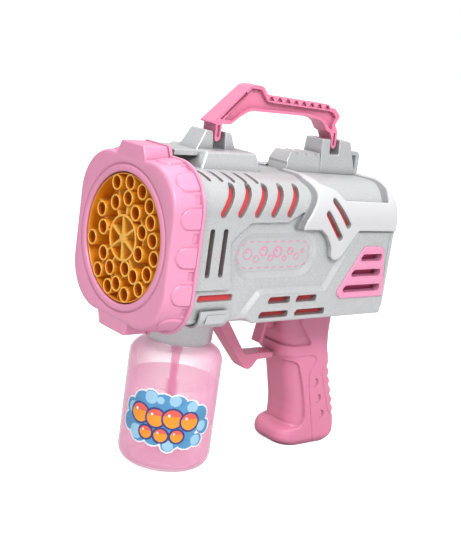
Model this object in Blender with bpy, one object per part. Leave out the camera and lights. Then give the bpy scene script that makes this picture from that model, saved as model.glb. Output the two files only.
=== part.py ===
"""Toy bubble blaster: a battery fan and pump in a two-part housing, with a pistol grip and a screw-on bottle.

The design is written in millimetres from the muzzle: x runs back from the muzzle face along the barrel,
y to the object's right, and z up from the barrel axis. to_part() turns that into metres in the part's frame,
whose origin is on the ground under the middle of the object.
"""

import math

import bmesh
import bpy
from mathutils import Matrix, Vector

# Driving dimensions, in millimetres
MM = 0.001
GAP = 0.3
LENGTH = 178.0
AXIS_HEIGHT = 135.0

BODY_FRONT = 18.5
BODY_REAR = 165.5
BODY_HALF_WIDTH = 45.0
BODY_TOP_FRONT = 42.2
BODY_TOP_REAR = 39.0
BODY_BOTTOM = -38.5
TOP_RADIUS = 22.0
BOTTOM_RADIUS = 6.0
WALL = 2.5
COVER_THICKNESS = 2.2

BEZEL_DEPTH = 18.2
BEZEL_FRONT_HALF = 45.0
BEZEL_REAR_HALF = 48.0
BEZEL_CORNER = 26.0
MOUTH_RADIUS = 36.0

NOZZLE_RADIUS = 35.4
NOZZLE_FRONT = 1.0
NOZZLE_BACK = 13.0
TUBE_OUTER = 4.3
TUBE_INNER = 3.6
HUB_RING_OUTER = 12.8
SPOKES = 6

DUCT_OUTSIDE = 3.0
DUCT_INSIDE = 4.5
DUCT_REAR = 116.0

GEAR_MODULE = 0.8
NOZZLE_TEETH = 36
PINION_TEETH = 10
PUMP_TEETH = 18
BACKLASH = 0.35
PINION_HEIGHT = GEAR_MODULE * (NOZZLE_TEETH + PINION_TEETH) / 2
PUMP_HEIGHT = -GEAR_MODULE * (NOZZLE_TEETH + PUMP_TEETH) / 2

BOTTLE_X = 48.5
BOTTLE_RADIUS = 27.3
BOTTLE_WALL = 1.1
NECK_RADIUS = 14.3
NECK_TOP = -44.4
SHOULDER_TOP = -61.0
SOCKET_RADIUS = 19.3
SOCKET_BORE = 16.6
SOCKET_BOTTOM = -59.8
THREAD_PITCH = 4.0
LIQUID_TOP = -85.0
TUBE_BOTTOM = -128.0

GRIP_HALF_WIDTH = 16.5
GRIP_WALL = 1.6
GRIP_TOP = -41.8
CELL_RADIUS = 7.1
CELL_LENGTH = 49.5
CELL_LEAN = math.radians(11.7)
CELL_TOP = (138.8, 0.0, -82.0)
TRIGGER_TRAVEL = 3.0
GUARD_HALF_WIDTH = 5.5

FAN_RADIUS = 22.0
FAN_BLADES = 7
MOTOR_RADIUS = 10.0

BASE = -AXIS_HEIGHT

# Colours as seen, 0 to 255, with roughness and metallic value
PINK = ((236, 160, 196), 0.38, 0.0)
DEEP_PINK = ((226, 140, 180), 0.42, 0.0)
SILVER = ((198, 199, 202), 0.36, 0.35)
WHITE = ((232, 232, 233), 0.35, 0.0)
AMBER = ((226, 150, 40), 0.25, 0.0)
RED = ((205, 70, 78), 0.45, 0.0)
CLEAR_PINK = ((238, 186, 210), 0.12, 0.0)
LIQUID_PINK = ((236, 160, 192), 0.05, 0.0)
LABEL_BLUE = ((90, 160, 210), 0.4, 0.0)
STEEL = ((180, 182, 186), 0.3, 1.0)
NYLON = ((236, 234, 226), 0.45, 0.0)
BLACK = ((34, 34, 38), 0.5, 0.0)
RUBBER = ((60, 60, 64), 0.8, 0.0)
CELL_BLUE = ((40, 70, 130), 0.35, 0.2)
BOARD_GREEN = ((40, 110, 70), 0.4, 0.0)

AXES = {
    "X": lambda u, v, h: (h, u, v),
    "Y": lambda u, v, h: (u, h, v),
    "Z": lambda u, v, h: (u, v, h),
}


# Geometry helpers

def to_part(point):
    """A design point in millimetres, as metres in the part's frame."""
    x, y, z = point
    return Vector(((x - LENGTH / 2) * MM, y * MM, (z + AXIS_HEIGHT) * MM))


def arc(centre, radius, start, end, steps):
    """Points on a circle, with both ends, by angle in degrees."""
    points = []
    for step in range(steps + 1):
        angle = math.radians(start + (end - start) * step / steps)
        points.append((centre[0] + radius * math.cos(angle), centre[1] + radius * math.sin(angle)))
    return points


def add_rings(bm, rings, loop=False):
    """Skins rings of equal point counts; the row of rings closes on itself, or gets an end cap at each end."""
    rows = [[bm.verts.new(to_part(point)) for point in ring] for ring in rings]
    pairs = list(zip(rows, rows[1:]))
    if loop:
        pairs.append((rows[-1], rows[0]))
    for first, second in pairs:
        count = len(first)
        for i in range(count):
            j = (i + 1) % count
            bm.faces.new((first[i], first[j], second[j], second[i]))
    if not loop:
        bm.faces.new(rows[0])
        bm.faces.new(list(reversed(rows[-1])))


def add_prism(bm, outline, axis, low, high):
    """A flat outline carried along an axis from low to high."""
    place = AXES[axis]
    add_rings(bm, [[place(u, v, h) for u, v in outline] for h in (low, high)])


def add_box(bm, low, high):
    corners = [(low[0], low[1]), (high[0], low[1]), (high[0], high[1]), (low[0], high[1])]
    add_prism(bm, corners, "Z", low[2], high[2])


def add_turned(bm, profile, axis, centre, steps=32):
    """A closed (radius, height) profile turned about an axis through centre."""
    place = AXES[axis]
    on_axis = 0.001
    rows = []
    for radius, height in profile:
        if radius < on_axis:
            rows.append([bm.verts.new(to_part(place(centre[0], centre[1], height)))])
            continue
        circle = arc(centre, radius, 0, 360, steps)[:-1]
        rows.append([bm.verts.new(to_part(place(u, v, height))) for u, v in circle])
    for first, second in zip(rows, rows[1:] + rows[:1]):
        if len(first) == 1 and len(second) == 1:
            continue
        for i in range(steps):
            j = (i + 1) % steps
            corners = [ring[k % len(ring)] for ring, k in ((first, i), (first, j), (second, j), (second, i))]
            bm.faces.new(list(dict.fromkeys(corners)))


def add_rod(bm, centre, radius, low, high, axis="X", steps=24):
    add_prism(bm, arc(centre, radius, 0, 360, steps)[:-1], axis, low, high)


def add_leaning_rod(bm, start, direction, radius, length, steps=20):
    """A rod that leans in the x-z plane, from start along a unit direction."""
    across = Vector((direction[2], 0, -direction[0]))
    rings = []
    for along in (0, length):
        centre = Vector(start) + Vector(direction) * along
        ring = []
        for u, v in arc((0, 0), radius, 0, 360, steps)[:-1]:
            ring.append(tuple(centre + across * u + Vector((0, v, 0))))
        rings.append(ring)
    add_rings(bm, rings)


def add_helix_ridge(bm, centre, base_radius, tip_radius, start_height, turns, steps=16):
    """A thread ridge climbing one pitch a turn, thicker at its base than at its tip."""
    base_half, tip_half = 0.85, 0.45
    rings = []
    for step in range(int(turns * steps) + 1):
        angle = 2 * math.pi * step / steps
        height = start_height + THREAD_PITCH * step / steps
        section = (
            (base_radius, height - base_half),
            (tip_radius, height - tip_half),
            (tip_radius, height + tip_half),
            (base_radius, height + base_half),
        )
        rings.append([
            (centre[0] + radius * math.cos(angle), centre[1] + radius * math.sin(angle), z) for radius, z in section
        ])
    add_rings(bm, rings)


def material_of(name, look):
    colour, roughness, metallic = look
    material = bpy.data.materials.new(name)
    material.use_nodes = True
    shader = material.node_tree.nodes["Principled BSDF"]
    linear = [(part / 255) ** 2.2 for part in colour]
    shader.inputs["Base Color"].default_value = (*linear, 1)
    shader.inputs["Roughness"].default_value = roughness
    shader.inputs["Metallic"].default_value = metallic
    material.diffuse_color = (*linear, 1)
    return material


def piece(name, bm, look=None, pivot=None):
    """Makes an object from the mesh, with its origin at pivot; without a look it is a cutter or a filler."""
    bmesh.ops.recalc_face_normals(bm, faces=bm.faces)
    mesh = bpy.data.meshes.new(name)
    obj = bpy.data.objects.new(name, mesh)
    bpy.context.scene.collection.objects.link(obj)
    if pivot is not None:
        obj.location = to_part(pivot)
        bmesh.ops.transform(bm, matrix=Matrix.Translation(-obj.location), verts=bm.verts)
    bm.to_mesh(mesh)
    bm.free()
    if look is None:
        obj.hide_render = True
        obj.display_type = "WIRE"
    else:
        mesh.materials.append(material_of(name + "_finish", look))
        mesh.shade_smooth()
        mesh.set_sharp_from_angle(angle=math.radians(35))
    return obj


def combine(target, operation, build, label):
    """Joins or cuts target with the shape that build() adds to a mesh."""
    bm = bmesh.new()
    build(bm)
    helper = piece(f"{target.name}_{label}", bm)
    modifier = target.modifiers.new(label, "BOOLEAN")
    modifier.operation = operation
    modifier.object = helper
    modifier.use_self = True
    return helper


def cut(target, build, label="cut"):
    return combine(target, "DIFFERENCE", build, label)


def join(target, build, label="join"):
    return combine(target, "UNION", build, label)


def new_piece(name, build, look, pivot=None):
    bm = bmesh.new()
    build(bm)
    return piece(name, bm, look, pivot)


def mirrored(points, side):
    """Design points turned over to the side asked for: -1 is the left, 1 the right."""
    return [(x, y * side, z) for x, y, z in points]


# The body's cross-section, shared by everything that follows the housing

def body_top(x):
    share = (x - BODY_FRONT) / (BODY_REAR - BODY_FRONT)
    return BODY_TOP_FRONT + (BODY_TOP_REAR - BODY_TOP_FRONT) * share


def body_half(x, inset, middle=GAP / 2, bottom=True):
    """Right half of the section at x, drawn in from the outside by inset, from the roof round to the belly."""
    width = BODY_HALF_WIDTH - inset
    top = body_top(x) - inset
    base = BODY_BOTTOM + inset
    top_radius = TOP_RADIUS - inset
    bottom_radius = BOTTOM_RADIUS - inset
    path = [(middle, top)]
    path += arc((width - top_radius, top - top_radius), top_radius, 90, 0, 8)
    if bottom:
        path += arc((width - bottom_radius, base + bottom_radius), bottom_radius, 0, -90, 4)
        path.append((middle, base))
    return path


def body_ring(x, inset):
    """The whole section at x as a closed outline."""
    half = body_half(x, inset)
    left = [(-y, z) for y, z in reversed(half)]
    return [(x, y, z) for y, z in half + left]


def add_shell_band(bm, side, front, rear, outer, inner):
    """Half of the housing's skin between two insets, from front to rear."""
    rings = []
    for x in (front, rear):
        path = body_half(x, outer) + list(reversed(body_half(x, inner)))
        rings.append(mirrored([(x, y, z) for y, z in path], side))
    add_rings(bm, rings)


# Housing

SLOT_PITCH = 11.8
SLOTS = 5
SHELL_SCREWS = ((137, 29.5), (157, 29.5), (140, -31.5))
BOSS_RADIUS = 3.6
SCREW_SEAT = 12.0
LEAD_HOLE_X = 155.0


def add_slot_cutters(bm, side):
    """Vents of one side: two upright, five slanted, five on the roof curve and five low ones."""
    near = 25.0
    far = 60.0

    def through(outline, low=near, high=far):
        ends = sorted((low * side, high * side))
        add_prism(bm, outline, "Y", *ends)

    half_upright = 1.75
    for x in (26.0, 34.7):
        near_x, far_x = x - half_upright, x + half_upright
        through([(near_x, -11.4), (far_x, -11.4), (far_x, 15), (near_x, 15)])
    for i in range(SLOTS):
        x = 31.6 + SLOT_PITCH * i
        slanted = [(x, 23.2), (x + 4.5, 23.2), (x + 8.5, 29.5), (x + 10.8, 35.6), (x + 6.4, 35.6), (x + 4.4, 29.5)]
        through(slanted)
    roof_pitch = 8.4
    for i in range(SLOTS):
        x = 26.0 + roof_pitch * i
        outline = [(x, 27), (x + 2.8, 27), (x + 3.8, 34.4), (x + 1.2, 34.4)]
        add_prism(bm, [(u, v * side) for u, v in outline], "Z", 35, 50)
    low_slots = (
        (22.4, 47.0, -23.3), (71.0, 88.2, -26.0), (92.6, 109.2, -26.0), (65.0, 88.0, -33.2), (92.6, 117.0, -33.2),
    )
    half_height = 2.0
    for front, rear, z in low_slots:
        low, high = z - half_height, z + half_height
        outline = [(front, low), (rear, low), (rear, high), (front + 1.2, high)]
        through(outline)
    vent_hole = [(141, 0.5), (158.5, 0.5), (162, -24.8), (130.5, -24.8)]
    through(vent_hole)


def add_badge_recess(bm, side):
    """Shallow stadium in the side wall where the printed badge sits."""
    depth = 1.2
    radius = 12.0
    outline = arc((57, 0), radius, 90, 270, 8) + arc((93, 0), radius, -90, 90, 8)
    ends = sorted(((BODY_HALF_WIDTH - depth) * side, (BODY_HALF_WIDTH + 3) * side))
    add_prism(bm, outline, "Y", *ends)


def add_bosses(bm, side):
    for x, z in SHELL_SCREWS:
        ends = sorted((GAP / 2 * side, BODY_HALF_WIDTH * side))
        add_rod(bm, (x, z), BOSS_RADIUS, *ends, axis="Y", steps=12)


def add_core(bm):
    """The space inside the middle of the skin, which trims what a boss would show outside."""
    add_rings(bm, [body_ring(x, WALL / 2) for x in (BODY_FRONT + 1, BODY_REAR - 1)])


def add_boss_holes(bm, side):
    """Clearance holes with deep head wells on the right, blind pilot holes on the left."""
    for x, z in SHELL_SCREWS:
        if side > 0:
            add_rod(bm, (x, z), 1.6, -1, SCREW_SEAT + 1, axis="Y", steps=12)
            add_rod(bm, (x, z), 2.6, SCREW_SEAT, BODY_HALF_WIDTH + 5, axis="Y", steps=12)
        else:
            add_rod(bm, (x, z), 1.35, -12, 1, axis="Y", steps=12)


def add_belly_openings(bm):
    """Ways through the floor for the solution tube and the battery leads."""
    add_rod(bm, (BOTTLE_X, 0), 3.2, -48, -30, axis="Z", steps=16)
    add_rod(bm, (LEAD_HOLE_X, 0), 3.0, -48, -30, axis="Z", steps=16)


def make_shell(name, side):
    shell = new_piece(name, lambda bm: add_shell_band(bm, side, BODY_FRONT, BODY_REAR, 0, WALL), SILVER)
    bosses = join(shell, lambda bm: add_bosses(bm, side), "bosses")
    combine(bosses, "INTERSECT", add_core, "core")
    cut(shell, lambda bm: add_slot_cutters(bm, side), "vents")
    cut(shell, lambda bm: add_badge_recess(bm, side), "badge")
    cut(shell, lambda bm: add_boss_holes(bm, side), "screw_holes")
    cut(shell, add_belly_openings, "floor_holes")
    return shell


def make_rear_cover():
    low = BODY_REAR + GAP
    high = low + COVER_THICKNESS
    section = body_ring(BODY_REAR, 0)

    def build(bm):
        add_rings(bm, [[(x, y, z) for _, y, z in section] for x in (low, high)])

    def slots(bm):
        half_width, half_height = 21.0, 1.6
        for row in range(-2, 3):
            z = row * 9.0
            add_box(bm, (low - 1, -half_width, z - half_height), (high + 1, half_width, z + half_height))

    cover = new_piece("rear_cover", build, WHITE)
    cut(cover, slots, "air_slots")


def square_ring(x, half, corner):
    """Rounded square outline at x."""
    inner = half - corner
    path = []
    for start, (sy, sz) in ((0, (1, 1)), (90, (-1, 1)), (180, (-1, -1)), (270, (1, -1))):
        path += arc((sy * inner, sz * inner), corner, start, start + 90, 8)
    return [(x, y, z) for y, z in path]


def circle_ring(x, radius):
    """Circle at x with a point for each one of square_ring."""
    count = 36
    return [(x, y, z) for y, z in arc((0, 0), radius, 5, 365, count)[:-1]]


PADS = 16
PAD_HALF = 5.5
PAD_TIP = 4.4
PAD_RISE = 0.7


def bezel_edge(along, half):
    """Point and outward angle on the bezel's rounded square, by distance along it from its right side's middle."""
    inner = half - BEZEL_CORNER
    quarter = 2 * inner + math.pi / 2 * BEZEL_CORNER
    turns, rest = divmod(along + inner, quarter)
    angle = max(0.0, rest - 2 * inner) / BEZEL_CORNER
    if angle:
        y, z = inner + BEZEL_CORNER * math.cos(angle), inner + BEZEL_CORNER * math.sin(angle)
    else:
        y, z = half, rest - inner
    turn = math.pi / 2 * turns
    turned_y = y * math.cos(turn) - z * math.sin(turn)
    turned_z = y * math.sin(turn) + z * math.cos(turn)
    return turned_y, turned_z, angle + turn


def add_bezel_pads(bm, rim_start):
    """Raised D-shaped finger pads round the edge, with their flat ends to the rear; the tabs replace two."""
    reference = (BEZEL_FRONT_HALF + BEZEL_REAR_HALF) / 2
    perimeter = 8 * (reference - BEZEL_CORNER) + 2 * math.pi * BEZEL_CORNER
    flare = (BEZEL_REAR_HALF - 0.8 - BEZEL_FRONT_HALF) / rim_start
    outline = arc((PAD_TIP + PAD_HALF, 0), PAD_HALF, 90, 270, 8)
    outline += [(rim_start + 0.4, -PAD_HALF), (rim_start + 0.4, PAD_HALF)]
    for pad in range(PADS):
        if pad % (PADS // 2) == PADS // 4:
            continue
        rings = []
        for rise in (-1.5, PAD_RISE):
            ring = []
            for x, across in outline:
                y, z, facing = bezel_edge(perimeter * pad / PADS + across, reference)
                out = BEZEL_FRONT_HALF + flare * x - reference + rise
                ring.append((x, y + out * math.cos(facing), z + out * math.sin(facing)))
            rings.append(ring)
        add_rings(bm, rings)


def make_bezel():
    rim_start = 15.8

    def build(bm):
        add_rings(bm, [
            square_ring(0, BEZEL_FRONT_HALF - 0.8, BEZEL_CORNER),
            square_ring(0.8, BEZEL_FRONT_HALF, BEZEL_CORNER),
            square_ring(rim_start, BEZEL_REAR_HALF - 0.8, BEZEL_CORNER),
            square_ring(rim_start + 0.6, BEZEL_REAR_HALF, BEZEL_CORNER),
            square_ring(BEZEL_DEPTH, BEZEL_REAR_HALF, BEZEL_CORNER),
        ])

    def tabs(bm):
        top = [(-13, 41), (-13, 46.5), (-10, 52.4), (10, 52.4), (13, 46.5), (13, 41)]
        bottom = [(-14.5, -41), (-14.5, -46.5), (-12, -52), (12, -52), (14.5, -46.5), (14.5, -41)]
        add_prism(bm, top, "X", 0.0, BEZEL_DEPTH)
        add_prism(bm, bottom, "X", 0.0, BEZEL_DEPTH)

    def mouth(bm):
        add_rod(bm, (0, 0), MOUTH_RADIUS, -2, BEZEL_DEPTH + 2, steps=48)

    def hollow(bm):
        wall_radius = MOUTH_RADIUS + 2
        front, rear = 3.0, BEZEL_DEPTH + 2
        add_rings(bm, [
            square_ring(front, 42.6, 24), square_ring(rear, 45.6, 24), circle_ring(rear, wall_radius),
            circle_ring(front, wall_radius),
        ], loop=True)

    bezel = new_piece("front_bezel", build, PINK)
    join(bezel, tabs, "tabs")
    join(bezel, lambda bm: add_bezel_pads(bm, rim_start), "pads")
    cut(bezel, hollow, "hollow")
    cut(bezel, mouth, "mouth")


def make_duct():
    def build(bm):
        add_rings(bm, [body_ring(x, DUCT_OUTSIDE) for x in (20, DUCT_REAR)])

    def inside(bm):
        add_rings(bm, [body_ring(x, DUCT_INSIDE) for x in (19, DUCT_REAR - 1.6)])

    def fan_hole(bm):
        add_rod(bm, (0, 0), FAN_RADIUS + 1, DUCT_REAR - 4, DUCT_REAR + 4, steps=36)

    def tube_hole(bm):
        add_rod(bm, (BOTTLE_X, 0), 2.4, -40, -30, axis="Z", steps=16)
        add_rod(bm, (22, 30), 1.8, DUCT_REAR - 4, DUCT_REAR + 4, steps=12)

    duct = new_piece("inner_duct", build, RED)
    cut(duct, inside, "inside")
    cut(duct, fan_hole, "fan_hole")
    cut(duct, tube_hole, "tube_hole")


def make_armor(name, side):
    """White plate over the rear half of one side, following the skin round the shoulder."""
    inner, outer = -GAP, -1.8
    roof_edge = 12.5
    lower_edge = -5.0

    def build(bm):
        rings = []
        for x in (84, BODY_REAR):
            outside = body_half(x, outer, roof_edge, bottom=False) + [(BODY_HALF_WIDTH - outer, lower_edge)]
            inside = body_half(x, inner, roof_edge, bottom=False) + [(BODY_HALF_WIDTH - inner, lower_edge)]
            rings.append(mirrored([(x, y, z) for y, z in outside + inside[::-1]], side))
        add_rings(bm, rings)

    def outline(bm):
        edge = [
            (95, 50), (95, 41.5), (97.6, 38.7), (97.8, 35.3), (95.5, 31), (91, 25.7), (87, 20), (86.2, 16.6),
            (104.6, 16), (109.3, 12.5), (113.5, 6.6), (115.1, -0.8), (117, -2.6), (120.2, -2.5), (123.3, -0.4),
            (135.1, 15.8), (170, 15.8), (170, 50), (164.4, 50), (164.4, 39), (160.2, 32.8), (123.5, 32.8),
            (118, 38), (108.6, 41.2), (104, 50),
        ]
        ends = sorted((roof_edge / 2 * side, 60 * side))
        add_prism(bm, edge, "Y", *ends)

    def slots(bm):
        ends = sorted((30 * side, 60 * side))
        for x, z in ((108.6, 23.4), (114.6, 30.0)):
            add_prism(bm, [(x - 0.4, z), (x + 1.6, z + 0.6), (x + 13.6, z - 13.6), (x + 11.4, z - 15)], "Y", *ends)

    armor = new_piece(name, build, WHITE)
    combine(armor, "INTERSECT", outline, "outline")
    cut(armor, slots, "slots")


def make_vent(name, side):
    outer = BODY_HALF_WIDTH + 1.4

    def build(bm):
        edge = [
            (142.9, 3.6), (157.4, 3.4), (160.4, 1), (164.4, -18.9), (164.8, -27.8), (128.4, -27.9), (125.2, -25),
            (125.6, -22),
        ]
        ends = sorted(((BODY_HALF_WIDTH + GAP) * side, outer * side))
        add_prism(bm, edge, "Y", *ends)

    def slots(bm):
        ends = sorted(((BODY_HALF_WIDTH - 4) * side, (outer + 4) * side))
        for front, rear, z in ((140.8, 158.3, -3.2), (135.4, 159.5, -12.4), (130.2, 160.8, -21.8)):
            half = 1.9
            add_prism(bm, [(front, z - half), (rear, z - half), (rear, z + half), (front + 1.5, z + half)], "Y", *ends)

    vent = new_piece(name, build, PINK)
    cut(vent, slots, "slots")


def make_belly_plate():
    top = BODY_BOTTOM - GAP
    bottom = -41.5

    def build(bm):
        half = [(73, 38), (141, 38), (162, 20)]
        outline = half + [(x, -y) for x, y in reversed(half)]
        lower = [(x + (1.5 if x < 100 else -1.5), y * 0.93) for x, y in outline]
        add_rings(bm, [[(x, y, top) for x, y in outline], [(x, y, bottom) for x, y in lower]])

    plate = new_piece("belly_plate", build, SILVER)
    cut(plate, lambda bm: add_rod(bm, (LEAD_HOLE_X, 0), 3.0, -48, -30, axis="Z", steps=16), "lead_hole")


# Handle and its mounts

POST_HALF_WIDTH = 7.5


def roof_line(x):
    """Height of a mount's underside, just clear of the roof."""
    return body_top(x) + GAP


def make_front_mount():
    def build(bm):
        low = [(31.8, 21), (76.3, 21), (76.3, -21), (31.8, -21)]
        high = [(37.7, 17), (73.3, 17), (73.3, -17), (37.7, -17)]
        top = 51.8
        add_rings(bm, [[(x, y, roof_line(x)) for x, y in low], [(x, y, top) for x, y in high]])

    def posts(bm):
        foot = 50.0
        front = [(38, foot), (49, foot), (48.7, 61.6), (43.4, 62.4)]
        rear = [(57.4, foot), (65.4, foot), (61.3, 61.1), (57.3, 61.4)]
        for outline in (front, rear):
            add_prism(bm, outline, "Y", -POST_HALF_WIDTH, POST_HALF_WIDTH)

    def front_tongue(bm):
        add_box(bm, (BODY_FRONT + 0.6, -12, 48.4), (40, 12, 51.2))

    mount = new_piece("front_handle_mount", build, SILVER)
    join(mount, posts, "posts")
    join(mount, front_tongue, "tongue")


DRAFT_BASE = 40.0


def add_drafted(bm, outline, base_half, top_half, top):
    """A side outline made solid across the object, evenly narrower from the roof to a height."""
    def half(z):
        return base_half + (top_half - base_half) * (z - DRAFT_BASE) / (top - DRAFT_BASE)

    add_rings(bm, [[(x, half(z) * side, z) for x, z in outline] for side in (-1, 1)])


def make_rear_mount():
    front, rear, top = 133.0, 163.0, 61.0
    cradle_front, cradle_rear, cradle_floor = 139.8, 147.5, 52.0
    loop_half = 2.0

    def build(bm):
        outline = [
            (front, roof_line(front)), (front, top), (cradle_front, top), (cradle_front, cradle_floor),
            (cradle_rear, cradle_floor), (cradle_rear, top - 0.2), (156.5, top - 0.5), (rear, roof_line(rear)),
        ]
        add_drafted(bm, outline, 9.4, POST_HALF_WIDTH, top)

    def loop(bm):
        outline = [
            (158, 41.5), (169.2, 41.5), (169.2, 37.6), (171.4, 37.2), (172.2, 39.5), (172.2, 51), (170.6, 53.5),
            (158, 53.5),
        ]
        add_prism(bm, outline, "Y", -loop_half, loop_half)

    def loop_slot(bm):
        outline = [(164.5, 42.9), (169.2, 42.9), (169.2, 51.2), (164.5, 51.2)]
        add_prism(bm, outline, "Y", -3 * loop_half, 3 * loop_half)

    mount = new_piece("rear_handle_mount", build, SILVER)
    join(mount, loop, "loop")
    cut(mount, loop_slot, "loop_slot")


def make_top_rail():
    start, end, crown, valley = 112.0, 132.6, 52.3, 50.4
    scallops, pitch = 3, 7.8

    def build(bm):
        outline = [(104.4, roof_line(104.4)), (105.9, 45.2), (105.6, 46.4), (108.8, crown - 0.2)]
        for i in range(scallops):
            x = start + pitch * i
            outline += [(x - 0.6, crown), (x + 1.2, valley), (x + 2.8, valley), (x + 4.4, crown)]
        outline += [(end, crown - 0.3), (end, roof_line(end))]
        add_drafted(bm, outline, 9.2, 7.2, crown)

    new_piece("top_rail", build, SILVER)


HANDLE_HALF_WIDTH = 5.6
HANDLE_RECESS = 2.6
RIDGES = 8


def make_handle():
    def build(bm):
        crest = [(72.4, 87.8), (76.0, 88.6), (80.8, 88.5), (83.2, 87.0), (86.4, 83.6)]
        ridges = []
        start, end = 86.9, 138.0
        for i in range(RIDGES):
            x = start + (end - start) * i / RIDGES
            z = 83.4 - 2.2 * i / RIDGES
            ridges += [(x + 1.0, z), (x + 3.6, z - 0.1), (x + 5.2, z - 1.8)]
        back = [
            (141.2, 79.0), (145.8, 75.1), (142.8, 69.4), (146.0, 65.3), (146.3, 57.2), (144.2, 55.2), (141.8, 57),
        ]
        under = [
            (141.7, 61.2), (139.8, 64.3), (136.2, 66.1), (130.4, 71.7), (119.2, 73.6), (74.8, 74.1), (67.4, 70.8),
            (61.2, 65.7),
        ]
        front = [(55.1, 65.7), (55.0, 57.4), (52.4, 55.6), (50.9, 56.4), (50.9, 65.2), (47.9, 65.8)]
        add_prism(bm, crest + ridges + back + under + front, "Y", -HANDLE_HALF_WIDTH, HANDLE_HALF_WIDTH)

    def recesses(bm):
        """Sunken faces on both sides, which leave a web with a rim round it."""
        web = [
            (56.4, 68.0), (61.6, 67.6), (68.2, 72.4), (74.2, 75.8), (119.4, 75.3), (130.2, 73.6), (134.6, 71.4),
            (138.0, 67.7), (140.6, 66.6), (140.8, 70.2), (142.8, 74.2), (140.0, 76.4), (136.0, 77.6),
            (90.2, 79.4), (86.0, 80.2), (80.6, 85.8), (74.0, 86.0),
        ]
        for side in (-1, 1):
            ends = sorted(((HANDLE_HALF_WIDTH - HANDLE_RECESS) * side, (HANDLE_HALF_WIDTH + 2) * side))
            add_prism(bm, web, "Y", *ends)

    def snap_lugs(bm):
        """Short bars through the tongues, which catch between the posts of each mount."""
        for front, rear in ((49.4, 56.9), (140.1, 147.2)):
            add_box(bm, (front, -2, 57.4), (rear, 2, 60.0))

    handle = new_piece("carry_handle", build, PINK)
    cut(handle, recesses, "recesses")
    join(handle, snap_lugs, "snap_lugs")


# Bottle, its socket and the solution

def make_socket():
    centre = (BOTTLE_X, 0)
    strap_front, strap_rear = 24.0, 44.0
    tube_hole = 2.9

    def build(bm):
        profile = [
            (tube_hole, -38.9), (24, -38.9), (24, -40.8), (SOCKET_RADIUS + 0.6, -42), (SOCKET_RADIUS, SOCKET_BOTTOM),
            (SOCKET_BORE, SOCKET_BOTTOM), (SOCKET_BORE, -41.3), (tube_hole, -41.3),
        ]
        add_turned(bm, profile, "Z", centre, 36)

    def strap(bm):
        """Saddle that wraps the lower corners of the body above the bottle."""
        rise = -29.8
        paths = []
        for inset in (-2.3, -GAP):
            width = BODY_HALF_WIDTH - inset
            radius = BOTTOM_RADIUS - inset
            base = BODY_BOTTOM + inset
            half = [(width, rise)] + arc((width - radius, base + radius), radius, 0, -90, 4)
            paths.append(half + [(-y, z) for y, z in reversed(half)])
        add_prism(bm, paths[0] + paths[1][::-1], "X", strap_front, strap_rear)

    def thread(bm):
        add_helix_ridge(bm, centre, SOCKET_BORE + 0.5, 15.05, -56.5, 2.25)

    socket = new_piece("bottle_socket", build, SILVER)
    join(socket, strap, "strap")
    join(socket, thread, "thread")


def make_dip_tube():
    def build(bm):
        outer, inner, collar = 2.5, 1.7, 3.4
        profile = [
            (outer, -36.5), (outer, -63.5), (collar, -64), (collar, -69), (outer, -69.5), (outer, TUBE_BOTTOM),
            (inner, TUBE_BOTTOM), (inner, -36.5),
        ]
        add_turned(bm, profile, "Z", (BOTTLE_X, 0), 16)

    new_piece("dip_tube", build, CLEAR_PINK)


def make_gasket():
    def build(bm):
        profile = [(9.5, -41.7), (14.2, -41.7), (14.2, -44.1), (9.5, -44.1)]
        add_turned(bm, profile, "Z", (BOTTLE_X, 0), 28)

    new_piece("bottle_gasket", build, RUBBER, (BOTTLE_X, 0, -41.7))


def bottle_profile(inset, neck_top, base_lift):
    """One wall line of the bottle from the neck down to the middle of its base."""
    radius = BOTTLE_RADIUS - inset
    neck = NECK_RADIUS - inset
    shoulder = 9.0 - inset
    foot = 7.0 - inset
    line = [(neck, neck_top), (neck, SHOULDER_TOP - inset)]
    line += arc((radius - shoulder, SHOULDER_TOP - 1.6 - inset - shoulder), shoulder, 78, 0, 5)
    floor = BASE + inset + base_lift
    line += arc((radius - foot, floor + foot), foot, 0, -90, 4)
    line.append((radius - foot - 3.5, floor))
    line.append((radius - foot - 5, floor + 0.8))
    line.append((0, floor + 1.4))
    return line


def make_bottle():
    def build(bm):
        outside = bottle_profile(0, NECK_TOP, 0)
        inside = bottle_profile(BOTTLE_WALL, NECK_TOP, 0.3)
        add_turned(bm, outside + inside[::-1], "Z", (BOTTLE_X, 0), 32)

    def thread(bm):
        add_helix_ridge(bm, (BOTTLE_X, 0), NECK_RADIUS - 0.5, 15.75, -54.5, 1.5)

    bottle = new_piece("bottle", build, CLEAR_PINK, (BOTTLE_X, 0, BASE))
    join(bottle, thread, "thread")


def make_solution():
    clear = 0.35

    def build(bm):
        wall = BOTTLE_WALL + clear
        inner = BOTTLE_RADIUS - wall
        lower = [point for point in bottle_profile(wall, NECK_TOP, 0.4) if point[1] < LIQUID_TOP]
        hole = 3.9
        floor = lower[-1][1]
        profile = [(hole, LIQUID_TOP), (inner, LIQUID_TOP)] + lower[:-1] + [(hole, floor)]
        add_turned(bm, profile, "Z", (BOTTLE_X, 0), 32)

    new_piece("bubble_solution", build, LIQUID_PINK, (BOTTLE_X, 0, BASE))


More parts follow.
